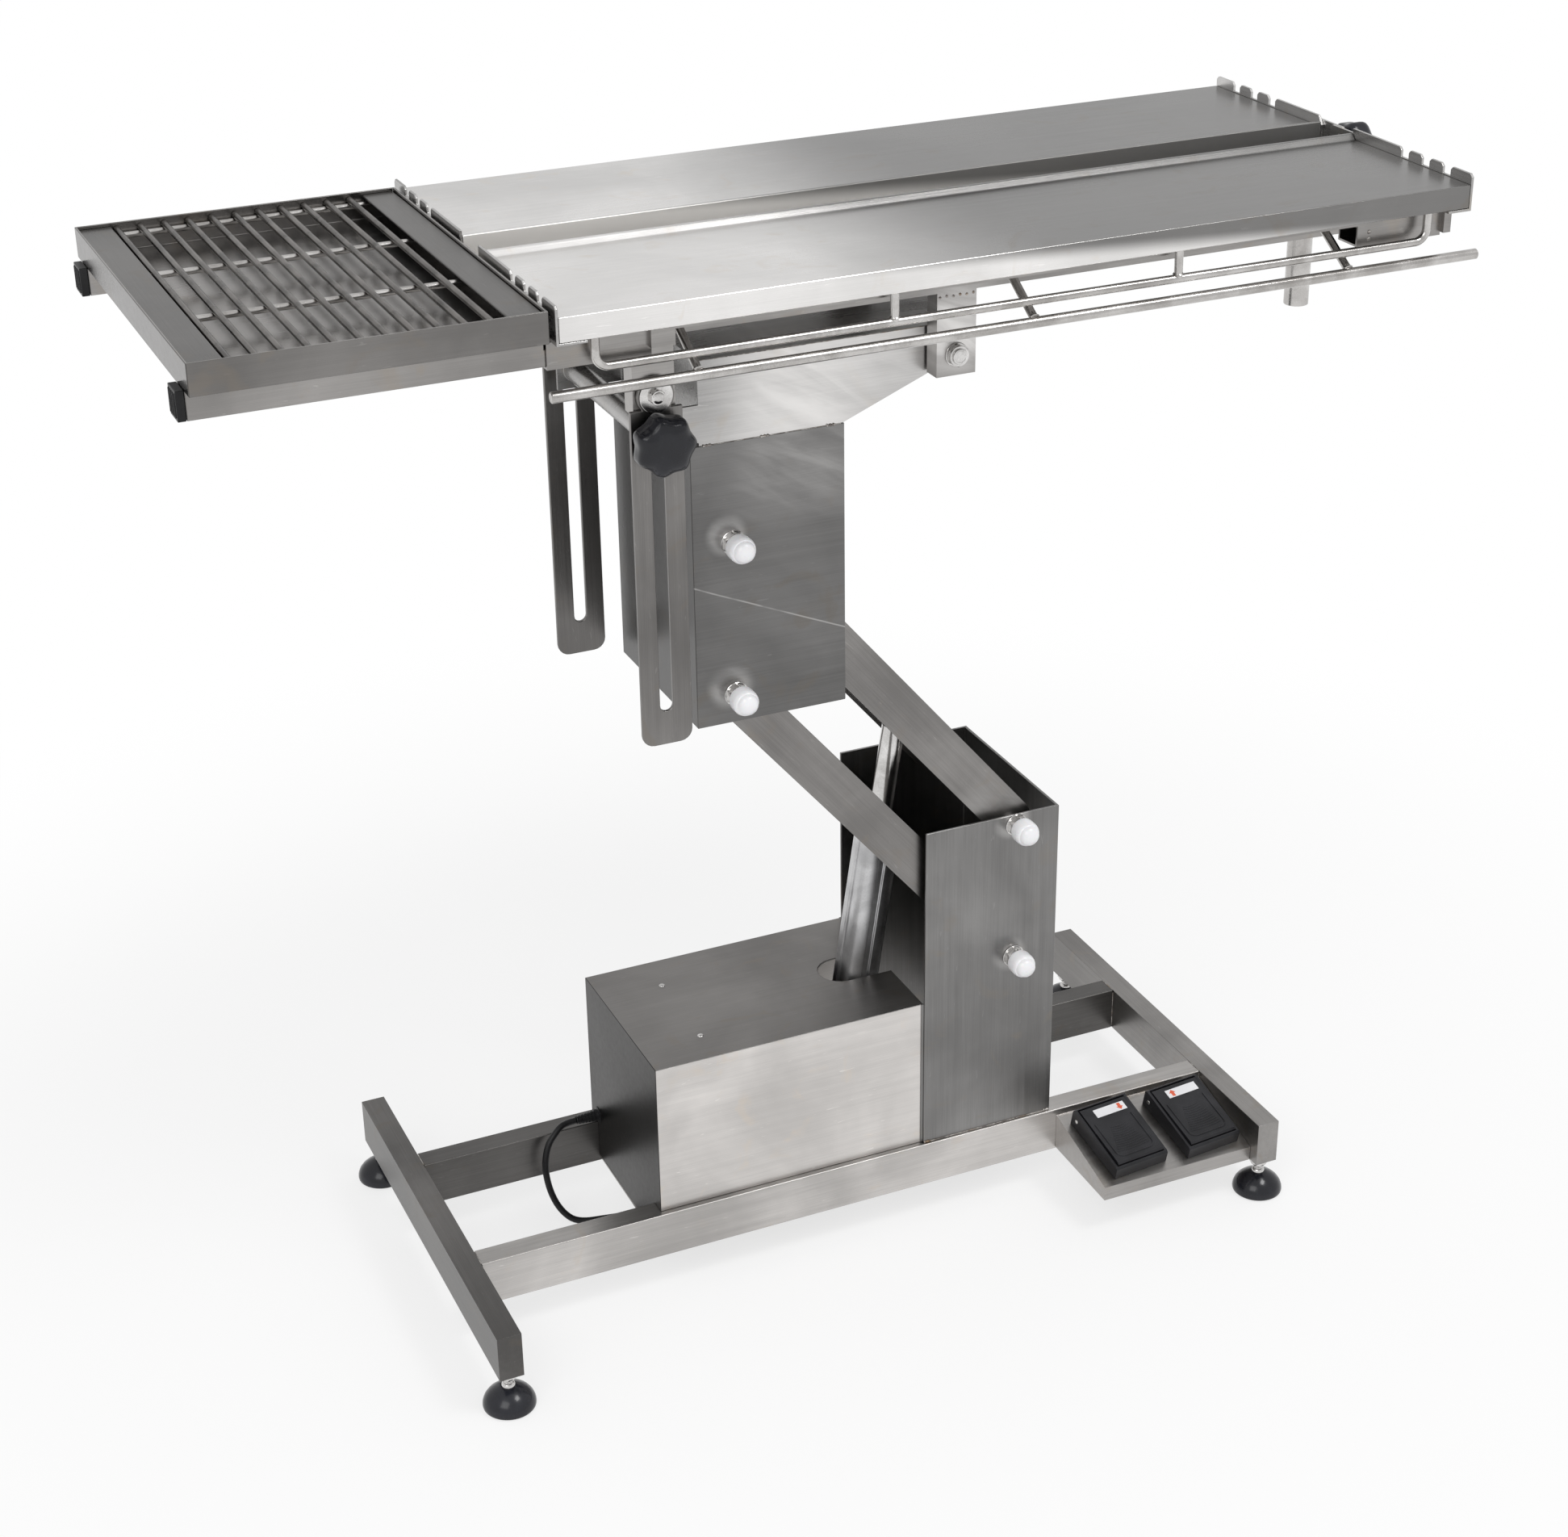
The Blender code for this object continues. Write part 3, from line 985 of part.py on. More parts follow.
def actuator(grey, steel):
    """Body with motor, tube and lug, and the sliding rod with its open eye."""
    place = Matrix.Translation((ACT_FOOT[0], 0, ACT_FOOT[1])) @ Matrix.Rotation(ACT_LEAN, 4, "Y")
    r = ACT_TUBE / 2
    c = 5 * MM
    corner = [(r, -r + c), (r, r - c), (r - c, r), (c - r, r),
              (-r, r - c), (-r, c - r), (c - r, -r), (r - c, -r)]
    low, high = GEAR_BOX
    solids = [prism([corner], low, ACT_TUBE_L, "Z"),
              round_bar(0, 0, ACT_LUG_R, 1 * MM - r, r - 1 * MM, "Y"),
              box((-8 * MM, 2 * MM - r, 1 * MM), (8 * MM, r - 2 * MM, low + 2 * MM)),
              box((-MOTOR_OFF - MOTOR_R - 2 * MM, -r - 3 * MM, low + 4 * MM),
                  (r - 1.5 * MM, r + 3 * MM, high)),
              round_bar(-MOTOR_OFF, 0, MOTOR_R, high - 1 * MM, high + MOTOR_L, "Z")]
    cuts = [round_bar(0, 0, ACT_PIN_R + BORE, -ACT_TUBE, ACT_TUBE, "Y", 12),
            round_bar(0, 0, ACT_ROD_R + BORE, ACT_STOP, ACT_TUBE_L + c, "Z", 16)]
    pivot = (ACT_FOOT[0], 0, ACT_FOOT[1])
    part("actuator_body", grey, [moved(s, place) for s in solids], [moved(s, place) for s in cuts], pivot)
    eye = [round_bar(0, 0, ACT_ROD_R, ACT_TUBE_L - ACT_ROD_IN, ACT_L - ACT_EYE_BORE - 3 * MM, "Z", 16),
           round_bar(0, ACT_L, ACT_EYE_R, -ACT_EYE_W / 2, ACT_EYE_W / 2, "Y", 24)]
    bore = [round_bar(0, ACT_L, ACT_EYE_BORE, -ACT_EYE_W, ACT_EYE_W, "Y", 20)]
    part("actuator_rod", steel, [moved(s, place) for s in eye], [moved(s, place) for s in bore], pivot)


def pedals(steel, black):
    """The sloping shelf in the base's corner, and the two foot switches on it."""
    x1 = BASE_X1 - TUBE_W - GAP
    x0 = x1 - SHELF_L
    y0 = -RAIL_SPREAD / 2 - GAP
    y1 = y0 - SHELF_OUT
    z0, z1 = FOOT_H + SHELF_REAR, FOOT_H + SHELF_FRONT
    t = SHEET
    sheet = [(y0, z0 - t), (y0, z0), (y1, z1), (y1, FOOT_H), (y1 + t, FOOT_H), (y1 + t, z1 - t)]
    cheek = [(y0, FOOT_H + t), (y0, z0 - t / 2), (y1 + t / 2, z1 - t / 2), (y1 + t / 2, FOOT_H)]
    solids = [prism([sheet], x0, x1, "X"), prism([cheek], x0, x0 + t, "X")]
    part("pedal_shelf", steel, solids)
    slope = atan2(z0 - z1, y0 - y1)
    rear = y0 - PEDAL_FROM_RAIL
    rear_z = z0 - PEDAL_FROM_RAIL * sin(slope) / cos(slope)
    for name, shift in zip(("down", "up"), PEDAL_X):
        place = (Matrix.Translation((x0 + shift, rear, rear_z)) @ Matrix.Rotation(slope, 4, "X")
                 @ Matrix.Rotation(PEDAL_TURN, 4, "Z"))
        foot_switch(name, black, place)


def foot_switch(name, black, place):
    """One foot switch in its own frame: X across, -Y to the toe, Z off the shelf.
    The walled base carries the pin, and the treadle turns on it between the walls."""
    w, length, wall, edge = PEDAL_W, PEDAL_L, PEDAL_WALL, PEDAL_EDGE
    rear_h, front_h = PEDAL_REAR_H, PEDAL_FRONT_H
    pin = (-PEDAL_PIN_IN, rear_h / 2)
    side = [(0, GAP), (0, rear_h - edge), (-edge, rear_h), (edge - length, front_h),
            (-length, front_h - edge), (-length, GAP)]
    well = [(-wall, PEDAL_FLOOR), (-wall, 2 * rear_h), (wall - length, 2 * rear_h),
            (wall - length, PEDAL_FLOOR)]
    base = [prism([side], 0, w, "X"),
            prism([disc(*pin, PEDAL_PIN_R, 10)], -PEDAL_PIN_OUT, w + PEDAL_PIN_OUT, "X")]
    cuts = [prism([well, disc(*pin, PEDAL_PIN_R, 10)], wall, w - wall, "X")]
    part("pedal_base_" + name, black, [moved(b, place) for b in base], [moved(c, place) for c in cuts])
    heel, toe = -wall - TREADLE_PLAY, wall + TREADLE_PLAY - length
    high = (rear_h + TREADLE_RISE[0], front_h + TREADLE_RISE[1])
    top = [(heel, high[0] - edge), (heel - edge, high[0]), (toe + edge, high[1]), (toe, high[1] - edge)]
    outline = [(heel, TREADLE_LOW[0])] + top + [(toe, TREADLE_LOW[1]), (-2.2 * PEDAL_PIN_IN, TREADLE_LOW[0])]
    t = TREADLE_WALL
    hollow = [(heel - t, -rear_h), (heel - t, high[0] - TREADLE_TOP), (toe + t, high[1] - TREADLE_TOP),
              (toe + t, -rear_h)]
    x0, x1 = wall + TREADLE_PLAY, w - wall - TREADLE_PLAY
    cuts = [prism([hollow], x0 + t, x1 - t, "X"), prism([disc(*pin, PEDAL_PIN_R + BORE, 10)], 0, w, "X")]
    centre = place @ Vector((w / 2, *pin))
    part("pedal_" + name, black, [moved(prism([outline], x0, x1, "X"), place)],
         [moved(c, place) for c in cuts], tuple(centre))


def power_cord(black):
    """The gland in the cover, the free stretch, the coil's outer shape, and the plug."""
    x, y, z = COVER_X0 + COVER_T, CORD_EXIT[0], FOOT_H + CORD_EXIT[1]
    turn = Matrix.Translation((x, y, z)) @ Matrix.Rotation(-pi / 2, 4, "Y")
    flange = COVER_T + GAP
    collar = GLAND_R + 3 * MM
    profile = [(0, 0), (GLAND_R, 0), (GLAND_R, flange), (collar, flange), (collar, flange + 3 * MM),
               (GLAND_R - 0.5 * MM, flange + 4 * MM), (CORD_R + 1 * MM, flange + GLAND_L),
               (0, flange + GLAND_L)]
    part("cord_gland", black, [turned(profile, 16, turn)])
    start = Vector((x - flange - GLAND_L - GAP, y, z))
    route = [start - Vector((CORD_R, 0, 0))]
    route += [Vector((BASE_X0 + a * MM, b * MM, FOOT_H + c * MM)) for a, b, c in CORD_ROUTE]
    rows, layers = COIL_ROWS
    centre = Vector((BASE_X0 + COIL_AT[0], COIL_AT[1], 0))
    inner, outer = COIL_R - rows * CORD_R, COIL_R + rows * CORD_R
    facet = pi / COIL_SIDES
    face = outer * cos(facet) + GAP
    way = Vector((cos(COIL_MEETS), sin(COIL_MEETS), 0))
    end = centre + way * face + Vector((0, 0, CORD_R + GAP))
    route += [end + way * run for run in (18 * MM, 9 * MM, 0)]
    free_cord("cord_lead", black, [tuple(start)] + smooth_route(route, 5 * CORD_R))
    height = 2 * CORD_R * layers
    ring = [disc(centre.x, centre.y, r, COIL_SIDES, facet) for r in (outer, inner)]
    part("cord_coil", black, [prism(ring, 0, height, "Z")])
    length, width, depth = PLUG
    px, py = centre.x + face, centre.y - PLUG_BACK
    taper = 5 * MM
    body = [(px + taper, py), (px + width - taper, py), (px + width, py + 2 * taper),
            (px + width, py + length), (px, py + length), (px, py + 2 * taper)]
    pins = [round_bar(px + width / 2 + side * PIN_APART / 2, depth / 2, PIN_R, py + length - 1 * MM,
                      py + length + PIN_L, "Y", 10) for side in (FRONT, BACK)]
    part("cord_plug", black, [prism([body], 0, depth, "Z")] + pins)


def smooth_route(points, pitch):
    """Points at an even pitch on a smooth curve through the given ones."""
    ends = [2 * points[0] - points[1]] + points + [2 * points[-1] - points[-2]]
    fine = []
    for a, b, c, d in zip(ends, ends[1:], ends[2:], ends[3:]):
        for k in range(12):
            t = k / 12
            fine.append(0.5 * (2 * b + (c - a) * t + (2 * a - 5 * b + 4 * c - d) * t ** 2
                               + (3 * b - a - 3 * c + d) * t ** 3))
    fine.append(points[-1])
    steps = np.array([(q - p).length for p, q in zip(fine, fine[1:])])
    along = np.concatenate([[0], np.cumsum(steps)])
    marks = np.linspace(0, along[-1], max(2, round(along[-1] / pitch) + 1))
    grid = np.array([tuple(p) for p in fine])
    return np.stack([np.interp(marks, along, grid[:, k]) for k in range(3)], axis=1).tolist()


def free_cord(name, material, points):
    """A round cord along its points, as a bevelled curve with flat ends."""
    curve = bpy.data.curves.new(name, "CURVE")
    curve.dimensions = "3D"
    curve.bevel_depth = CORD_R
    curve.bevel_resolution = 2
    curve.use_fill_caps = True
    line = curve.splines.new("POLY")
    line.points.add(len(points) - 1)
    for mark, spot in zip(line.points, points):
        mark.co = (*spot, 1)
    curve.materials.append(material)
    item = bpy.data.objects.new(name, curve)
    bpy.context.scene.collection.objects.link(item)


def main():
    clear_scene()
    steel = finish("brushed_steel", (0.52, 0.5, 0.48), 0.34, 1.0)
    bright = finish("bright_sheet", (0.66, 0.65, 0.64), 0.26, 1.0)
    chrome = finish("bright_hardware", (0.72, 0.72, 0.73), 0.18, 1.0)
    black = finish("black_plastic", (0.015, 0.015, 0.018), 0.38, 0.0)
    grey = finish("grey_casting", (0.34, 0.35, 0.36), 0.45, 0.6)
    white = finish("white_plastic", (0.86, 0.86, 0.86), 0.4, 0.0)
    base_frame(steel)
    feet(black)
    lower_column(steel)
    drive(steel, black, grey)
    pedals(steel, black)
    power_cord(black)
    pivot_bolts(chrome, white)
    lift_arm("lower_arm", steel, LOWER_PIVOT, ())
    lift_arm("upper_arm", steel, ARM_TOP_PIVOT, (ACT_HEAD,))
    upper_column(steel)
    tilt_head(steel)
    tilt_axle(chrome)
    for name, side in SIDES:
        stay("stay_" + name, side, steel)
        stay_bolt("stay_bolt_" + name, side, chrome)
        frame_side("frame_" + name, side, steel)
        side_rail("side_rail_" + name, side, steel)
        panel("panel_" + name, side, bright)
        bent_rod("rod_rail_" + name, side, bright)
        end_plate("end_plate_left_" + name, side, False, bright)
        end_plate("end_plate_right_" + name, side, True, bright)
    face = STAY_OUT + GAP
    star_knob("clamp_knob", black, (CLAMP[0], -face, CLAMP[1]), "-Y", 2 * face + NUT_H,
              (-2 * face - NUT_H, -2 * face))
    lock_face = PANEL_X1 + 3 * GAP + 2 * END_T
    nut_face = PANEL_X1 - 1 * MM - GUTTER_END_T - GAP
    star_knob("v_lock_knob", black, (lock_face, 0, LOCK_Z), "X", lock_face - nut_face + NUT_H,
              (nut_face - lock_face - NUT_H, nut_face - lock_face))
    gutter(steel)
    tray(bright, black)


main()
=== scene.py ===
import json
from math import atan2, cos, pi, radians, sin, sqrt, tan

import bmesh
import bpy
import numpy as np
from mathutils import Matrix, Vector

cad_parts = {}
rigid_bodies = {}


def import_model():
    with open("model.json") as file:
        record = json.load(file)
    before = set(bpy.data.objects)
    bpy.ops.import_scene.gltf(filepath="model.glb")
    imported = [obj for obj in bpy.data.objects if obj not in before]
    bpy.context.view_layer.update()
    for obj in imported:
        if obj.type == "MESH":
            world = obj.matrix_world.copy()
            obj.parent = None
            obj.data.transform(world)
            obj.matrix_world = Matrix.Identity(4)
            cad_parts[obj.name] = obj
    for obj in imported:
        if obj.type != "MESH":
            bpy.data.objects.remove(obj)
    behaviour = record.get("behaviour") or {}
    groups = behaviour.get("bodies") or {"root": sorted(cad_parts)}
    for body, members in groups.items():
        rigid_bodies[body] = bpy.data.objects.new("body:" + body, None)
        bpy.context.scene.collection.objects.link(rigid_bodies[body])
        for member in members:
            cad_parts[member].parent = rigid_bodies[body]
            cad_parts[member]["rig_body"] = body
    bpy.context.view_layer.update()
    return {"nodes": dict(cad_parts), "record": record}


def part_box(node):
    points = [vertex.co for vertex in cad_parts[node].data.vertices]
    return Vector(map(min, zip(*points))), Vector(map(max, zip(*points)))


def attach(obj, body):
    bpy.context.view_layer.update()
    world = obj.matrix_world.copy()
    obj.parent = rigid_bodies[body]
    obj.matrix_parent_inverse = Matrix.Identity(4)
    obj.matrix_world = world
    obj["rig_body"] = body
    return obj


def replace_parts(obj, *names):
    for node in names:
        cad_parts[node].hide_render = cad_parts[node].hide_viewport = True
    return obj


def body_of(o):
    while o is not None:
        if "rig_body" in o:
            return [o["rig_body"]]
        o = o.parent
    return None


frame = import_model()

# Looks of a stainless veterinary examination table. Metres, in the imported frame.
# -Y is the side with the star knob, +X the end with the lock knob, +Z up.

MM = 0.001
GAP = 0.3 * MM
BASE_X0 = -429.2 * MM       # left end of the base
TUBE_Z = 42 * MM            # underside of the base tubes
COVER_TOP = 262 * MM
SIDES = (("front", -1), ("back", 1))
JOINT = {joint["name"]: joint for joint in frame["record"]["behaviour"]["joints"]}
SCENE = bpy.context.scene


# Camera, room

CAMERA_AT = (-1.0406, -2.3346, 1.7940)
CAMERA_TURN, CAMERA_LIFT, CAMERA_ROLL = radians(-23.6), radians(26.7), radians(-0.89)
LENS, SENSOR = 64.96, 36


def camera():
    """The photograph's view: a fitted turn, lift and roll, and the place."""
    turn, lift, roll = CAMERA_TURN, CAMERA_LIFT, CAMERA_ROLL
    ahead = Vector((-sin(turn) * cos(lift), cos(turn) * cos(lift), -sin(lift)))
    right = Vector((cos(turn), sin(turn), 0))
    up = right.cross(ahead)
    side = right * cos(roll) + up * sin(roll)
    top = up * cos(roll) - right * sin(roll)
    data = bpy.data.cameras.new("view")
    data.lens, data.sensor_width = LENS, SENSOR
    item = bpy.data.objects.new("view", data)
    SCENE.collection.objects.link(item)
    turned_axes = Matrix((side, top, -ahead)).transposed().to_4x4()
    item.matrix_world = Matrix.Translation(CAMERA_AT) @ turned_axes
    SCENE.camera = item


class Wire:
    """A socket with arithmetic: each operator adds one Math node and gives its output."""

    def __init__(self, sheet, socket):
        self.sheet, self.socket = sheet, socket

    def __add__(self, other):
        return self.sheet.math("ADD", self, other)

    def __sub__(self, other):
        return self.sheet.math("SUBTRACT", self, other)

    def __rsub__(self, other):
        return self.sheet.math("SUBTRACT", other, self)

    def __mul__(self, other):
        return self.sheet.math("MULTIPLY", self, other)

    __radd__, __rmul__ = __add__, __mul__


class Sheet:
    """The nodes of one material or world, each made by one call."""

    def __init__(self, owner):
        owner.use_nodes = True
        self.owner, self.tree = owner, owner.node_tree
        self.tree.nodes.clear()
        self.place = self.node("ShaderNodeTexCoord")["Object"]

    def node(self, kind, settings=(), inputs=()):
        """A node with its settings, then its inputs. Gives its outputs by name."""
        item = self.tree.nodes.new(kind)
        for key, value in dict(settings).items():
            setattr(item, key, value)
        for key, value in dict(inputs).items():
            if isinstance(value, Wire):
                self.tree.links.new(value.socket, item.inputs[key])
            else:
                item.inputs[key].default_value = value
        self.last = item
        return {out.name: Wire(self, out) for out in item.outputs if out.enabled}

    def math(self, operation, *values):
        self.node("ShaderNodeMath", {"operation": operation}, dict(enumerate(values)))
        return Wire(self, self.last.outputs[0])

    def vector(self, x, y, z):
        return self.node("ShaderNodeCombineXYZ", (), {"X": x, "Y": y, "Z": z})["Vector"]

    def dot(self, vector, axis):
        self.node("ShaderNodeVectorMath", {"operation": "DOT_PRODUCT"}, {0: vector, 1: tuple(axis)})
        return Wire(self, self.last.outputs["Value"])

    def far(self, vector, point):
        """Distance to a point."""
        self.node("ShaderNodeVectorMath", {"operation": "DISTANCE"}, {0: vector, 1: tuple(point)})
        return Wire(self, self.last.outputs["Value"])

    def noise(self, vector, scale=1, detail=3, warp=0):
        inputs = {"Vector": vector, "Scale": scale, "Detail": detail, "Distortion": warp}
        self.node("ShaderNodeTexNoise", (), inputs)
        return Wire(self, self.last.outputs[0])

    def ramp(self, value, low, high, start=0, end=1):
        """Smooth step of value from low to high, given as start to end."""
        inputs = {"Value": value, "From Min": low, "From Max": high, "To Min": start, "To Max": end}
        self.node("ShaderNodeMapRange", {"interpolation_type": "SMOOTHSTEP"}, inputs)
        return Wire(self, self.last.outputs[0])

    def mix(self, factor, a, b):
        """Colour a where factor is 0, b where it is 1."""
        ends = [(*c, 1) if isinstance(c, tuple) else c for c in (a, b)]
        self.node("ShaderNodeMix", {"data_type": "RGBA"}, {0: factor, 6: ends[0], 7: ends[1]})
        return Wire(self, self.last.outputs[2])

    def bump(self, height, strength, distance):
        inputs = {"Height": height, "Strength": strength, "Distance": distance}
        return self.node("ShaderNodeBump", (), inputs)["Normal"]

    def finish(self, **inputs):
        """The Principled shader, with underscores in its input names read as spaces."""
        named = {key.replace("_", " "): value for key, value in inputs.items()}
        for key, value in named.items():
            if isinstance(value, tuple) and len(value) == 3:
                named[key] = (*value, 1)
        surface = self.node("ShaderNodeBsdfPrincipled", (), named)["BSDF"]
        self.node("ShaderNodeOutputMaterial", (), {"Surface": surface})
        return self.owner


def new_sheet(name):
    return Sheet(bpy.data.materials.new(name))


def white_to_eye(sheet):
    """1 for camera, mirror and glass rays, which all see the background as white."""
    rays = sheet.node("ShaderNodeLightPath")
    seen = sheet.math("MAXIMUM", rays["Is Camera Ray"], rays["Is Glossy Ray"])
    return sheet.math("MAXIMUM", seen, rays["Is Transmission Ray"])


def room():
    """A white studio with a plain fill, a soft lamp at the left, and a smaller one high in
    front whose glint runs along the upper edges."""
    world = bpy.data.worlds.new("room")
    SCENE.world = world
    sheet = Sheet(world)
    fill = 0.9
    level = fill + (1 - fill) * white_to_eye(sheet)
    light = sheet.node("ShaderNodeBackground", (), {"Strength": level})["Background"]
    sheet.node("ShaderNodeOutputWorld", (), {"Surface": light})

    for name, place, target, size, watts in (
            ("key", (-2.4, -2.2, 3.3), (0, 0, 0.6), (2.2, 2.2), 40),
            ("edges", (1.25, -1.45, 3.4), (0, 0, 0.7), (1.1, 0.8), 34)):
        data = bpy.data.lights.new(name, "AREA")
        data.shape, data.size, data.size_y, data.energy = "RECTANGLE", *size, watts
        item = bpy.data.objects.new(name, data)
        item.location = place
        item.rotation_euler = (Vector(target) - Vector(place)).to_track_quat("-Z", "Y").to_euler()
        item.visible_camera = False
        SCENE.collection.objects.link(item)


def floor():
    """A wide pale floor, white to camera and mirrors save for the object's soft shadow."""
    far = 30
    inner, outer, kept = 0.7, 1.6, 0.3      # reach of the shadow, and its share at the middle
    mesh = bpy.data.meshes.new("floor")
    corners = [(-far, -far, 0), (far, -far, 0), (far, far, 0), (-far, far, 0)]
    mesh.from_pydata(corners, [], [(0, 1, 2, 3)])
    item = bpy.data.objects.new("floor", mesh)
    SCENE.collection.objects.link(item)
    sheet = new_sheet("floor_pale")
    near = sheet.ramp(sheet.far(sheet.place, (0, 0, 0)), inner, outer, kept, 0)
    plain = sheet.node("ShaderNodeBsdfDiffuse", (), {"Color": (0.9, 0.9, 0.9, 1)})["BSDF"]
    white = sheet.node("ShaderNodeEmission", (), {"Color": (1, 1, 1, 1), "Strength": 1.0})["Emission"]
    shown = white_to_eye(sheet) * (1.0 - near)
    sheet.node("ShaderNodeMixShader", (), {0: shown, 1: plain, 2: white})
    sheet.node("ShaderNodeOutputMaterial", (), {"Surface": Wire(sheet, sheet.last.outputs[0])})
    mesh.materials.append(sheet.owner)


# Shapes

def basis(axis):
    """Three unit vectors at right angles, the last along the axis."""
    w = np.array(axis, float)
    w /= np.linalg.norm(w)
    u = np.cross((0.0, 0, 1) if abs(w[2]) < 0.9 else (0.0, 1, 0), w)
    u /= np.linalg.norm(u)
    return u, np.cross(w, u), w


def skinned(rings, closed=False):
    """Quads between neighbouring rings of vertex numbers; a ring of one number is a pole."""
    faces = []
    for low, high in list(zip(rings, rings[1:])) + ([(rings[-1], rings[0])] if closed else []):
        for k in range(len(low)):
            n = (k + 1) % len(low)
            quad = tuple(dict.fromkeys((low[k], low[n], high[n], high[k])))
            if len(quad) > 2:
                faces.append(quad)
    return faces


def turned(profile, centre, axis=(0, 0, 1), sides=32, shape=None, ring=False):
    """Surface of revolution: ring j is centre + r cos a u + r sin a v + h w for its (r, h).
    A radius of 0 makes a pole. shape(a, r) may change the radius round the ring."""
    u, v, w = basis(axis)
    a = np.arange(sides) * 2 * pi / sides
    verts, rings = [], []
    for r, h in profile:
        start = len(verts)
        middle = np.array(centre) + h * w
        if r == 0:
            verts.append(middle)
            rings.append([start] * sides)
            continue
        radius = np.full(sides, float(r)) if shape is None else shape(a, r)
        verts.extend(middle + np.outer(radius * np.cos(a), u) + np.outer(radius * np.sin(a), v))
        rings.append(list(range(start, start + sides)))
    return np.array(verts), skinned(rings, ring)


def swept(path, radius, sides=20):
    """Round bar: ring j lies across the path at point j, carried along without twist.
    Each end is a flat face with a small rounded edge, closed in a pole."""
    path = np.array([tuple(p) for p in path], float)
    radius = np.broadcast_to(radius, len(path)).astype(float)
    soft = 0.18 * radius[0]
    ends = [(path[1] - path[0]), (path[-1] - path[-2])]
    ends = [e / np.linalg.norm(e) for e in ends]
    path = np.concatenate([[path[0], path[0], path[0] + soft * ends[0]], path[1:-1],
                           [path[-1] - soft * ends[1], path[-1], path[-1]]])
    radius = np.concatenate([[0, radius[0] - soft], radius[:1], radius[1:-1], radius[-1:],
                             [radius[-1] - soft, 0]])
    step = np.gradient(path, axis=0)
    step[:3], step[-3:] = ends[0], ends[1]
    step /= np.linalg.norm(step, axis=1)[:, None]
    u = basis(step[0])[0]
    a = np.arange(sides) * 2 * pi / sides
    verts, rings = [], []
    for spot, way, r in zip(path, step, radius):
        u = u - u.dot(way) * way
        u /= np.linalg.norm(u)
        v = np.cross(way, u)
        start = len(verts)
        if r == 0:
            verts.append(spot)
            rings.append([start] * sides)
        else:
            verts.extend(spot + r * (np.outer(np.cos(a), u) + np.outer(np.sin(a), v)))
            rings.append(list(range(start, start + sides)))
    return np.array(verts), skinned(rings)


def rounded(points, bend, steps=8):
    """The polyline with each inner corner turned into an arc of radius bend."""
    points = [Vector(p) for p in points]
    out = [points[0]]
    for a, b, c in zip(points, points[1:], points[2:]):
        p, q = (a - b).normalized(), (c - b).normalized()
        half = p.angle(q) / 2
        centre = b + (p + q).normalized() * (bend / sin(half))
        s, e = b + p * (bend / tan(half)) - centre, b + q * (bend / tan(half)) - centre
        whole = s.angle(e)
        for k in range(steps + 1):
            t = k / steps
            out.append(centre + (sin((1 - t) * whole) * s + sin(t * whole) * e) / sin(whole))
    return out + [points[-1]]


def block(low, high):
    """A block between two corners, for pieces that then get rounded edges."""
    low, high = np.minimum(low, high), np.maximum(low, high)
    pick = np.array([(i, j, k) for i in (0, 1) for j in (0, 1) for k in (0, 1)])
    faces = [(0, 1, 3, 2), (4, 6, 7, 5), (0, 4, 5, 1), (2, 3, 7, 6), (0, 2, 6, 4), (1, 5, 7, 3)]
    return low + pick * (high - low), faces


def slab(loop, low, high, place):
    """Prism of a flat outline: points (x, y) at heights low and high, moved by a matrix."""
    n = len(loop)
    verts = [place @ Vector((x, y, z)) for z in (low, high) for x, y in loop]
    faces = [tuple(range(n))[::-1], tuple(range(n, 2 * n))]
    faces += [(k, (k + 1) % n, n + (k + 1) % n, n + k) for k in range(n)]
    return np.array([tuple(v) for v in verts]), faces


def dressed(name, mesh, body, material, slot, soft=35, bevel=0.0, segments=2):
    """An object of a mesh: outward faces, smooth below the soft angle, edges rounded by bevel."""
    work = bmesh.new()
    work.from_mesh(mesh)
    bmesh.ops.recalc_face_normals(work, faces=work.faces)
    work.to_mesh(mesh)
    work.free()
    mesh.polygons.foreach_set("use_smooth", np.ones(len(mesh.polygons), bool))
    mesh.set_sharp_from_angle(angle=radians(soft))
    mesh.materials.clear()
    mesh.materials.append(material)
    item = bpy.data.objects.new(name, mesh)
    SCENE.collection.objects.link(item)
    if bevel:
        edges = item.modifiers.new("edges", "BEVEL")
        edges.width, edges.segments, edges.limit_method = bevel, segments, "ANGLE"
        edges.angle_limit = radians(soft)
        flat = item.modifiers.new("flat", "WEIGHTED_NORMAL")
        flat.keep_sharp = True
    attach(item, body)
    return item


def piece(name, shapes, body, material, slot, **looks):
    """One object from (points, faces) shapes."""
    verts, faces, count = [], [], 0
    for points, quads in shapes:
        verts.append(points)
        faces += [tuple(count + k for k in quad) for quad in quads]
        count += len(points)
    mesh = bpy.data.meshes.new(name)
    mesh.from_pydata(np.concatenate(verts).tolist(), [], faces)
    return dressed(name, mesh, body, material, slot, **looks)


def carried(node, material, slot, bevel, **looks):
    """A sheet or tube node with its faces joined again and its edges rounded, in its place."""
    source = frame["nodes"][node]
    mesh = source.data.copy()
    work = bmesh.new()
    work.from_mesh(mesh)
    bmesh.ops.remove_doubles(work, verts=work.verts, dist=2e-6)
    bmesh.ops.dissolve_limit(work, angle_limit=radians(0.6), verts=work.verts, edges=work.edges)
    work.to_mesh(mesh)
    work.free()
    item = dressed("look_" + node, mesh, BODY_OF[node], material, slot, bevel=bevel, **looks)
    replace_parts(item, node)
    return item


BODY_OF = {node: body_of(item)[0] for node, item in frame["nodes"].items()}


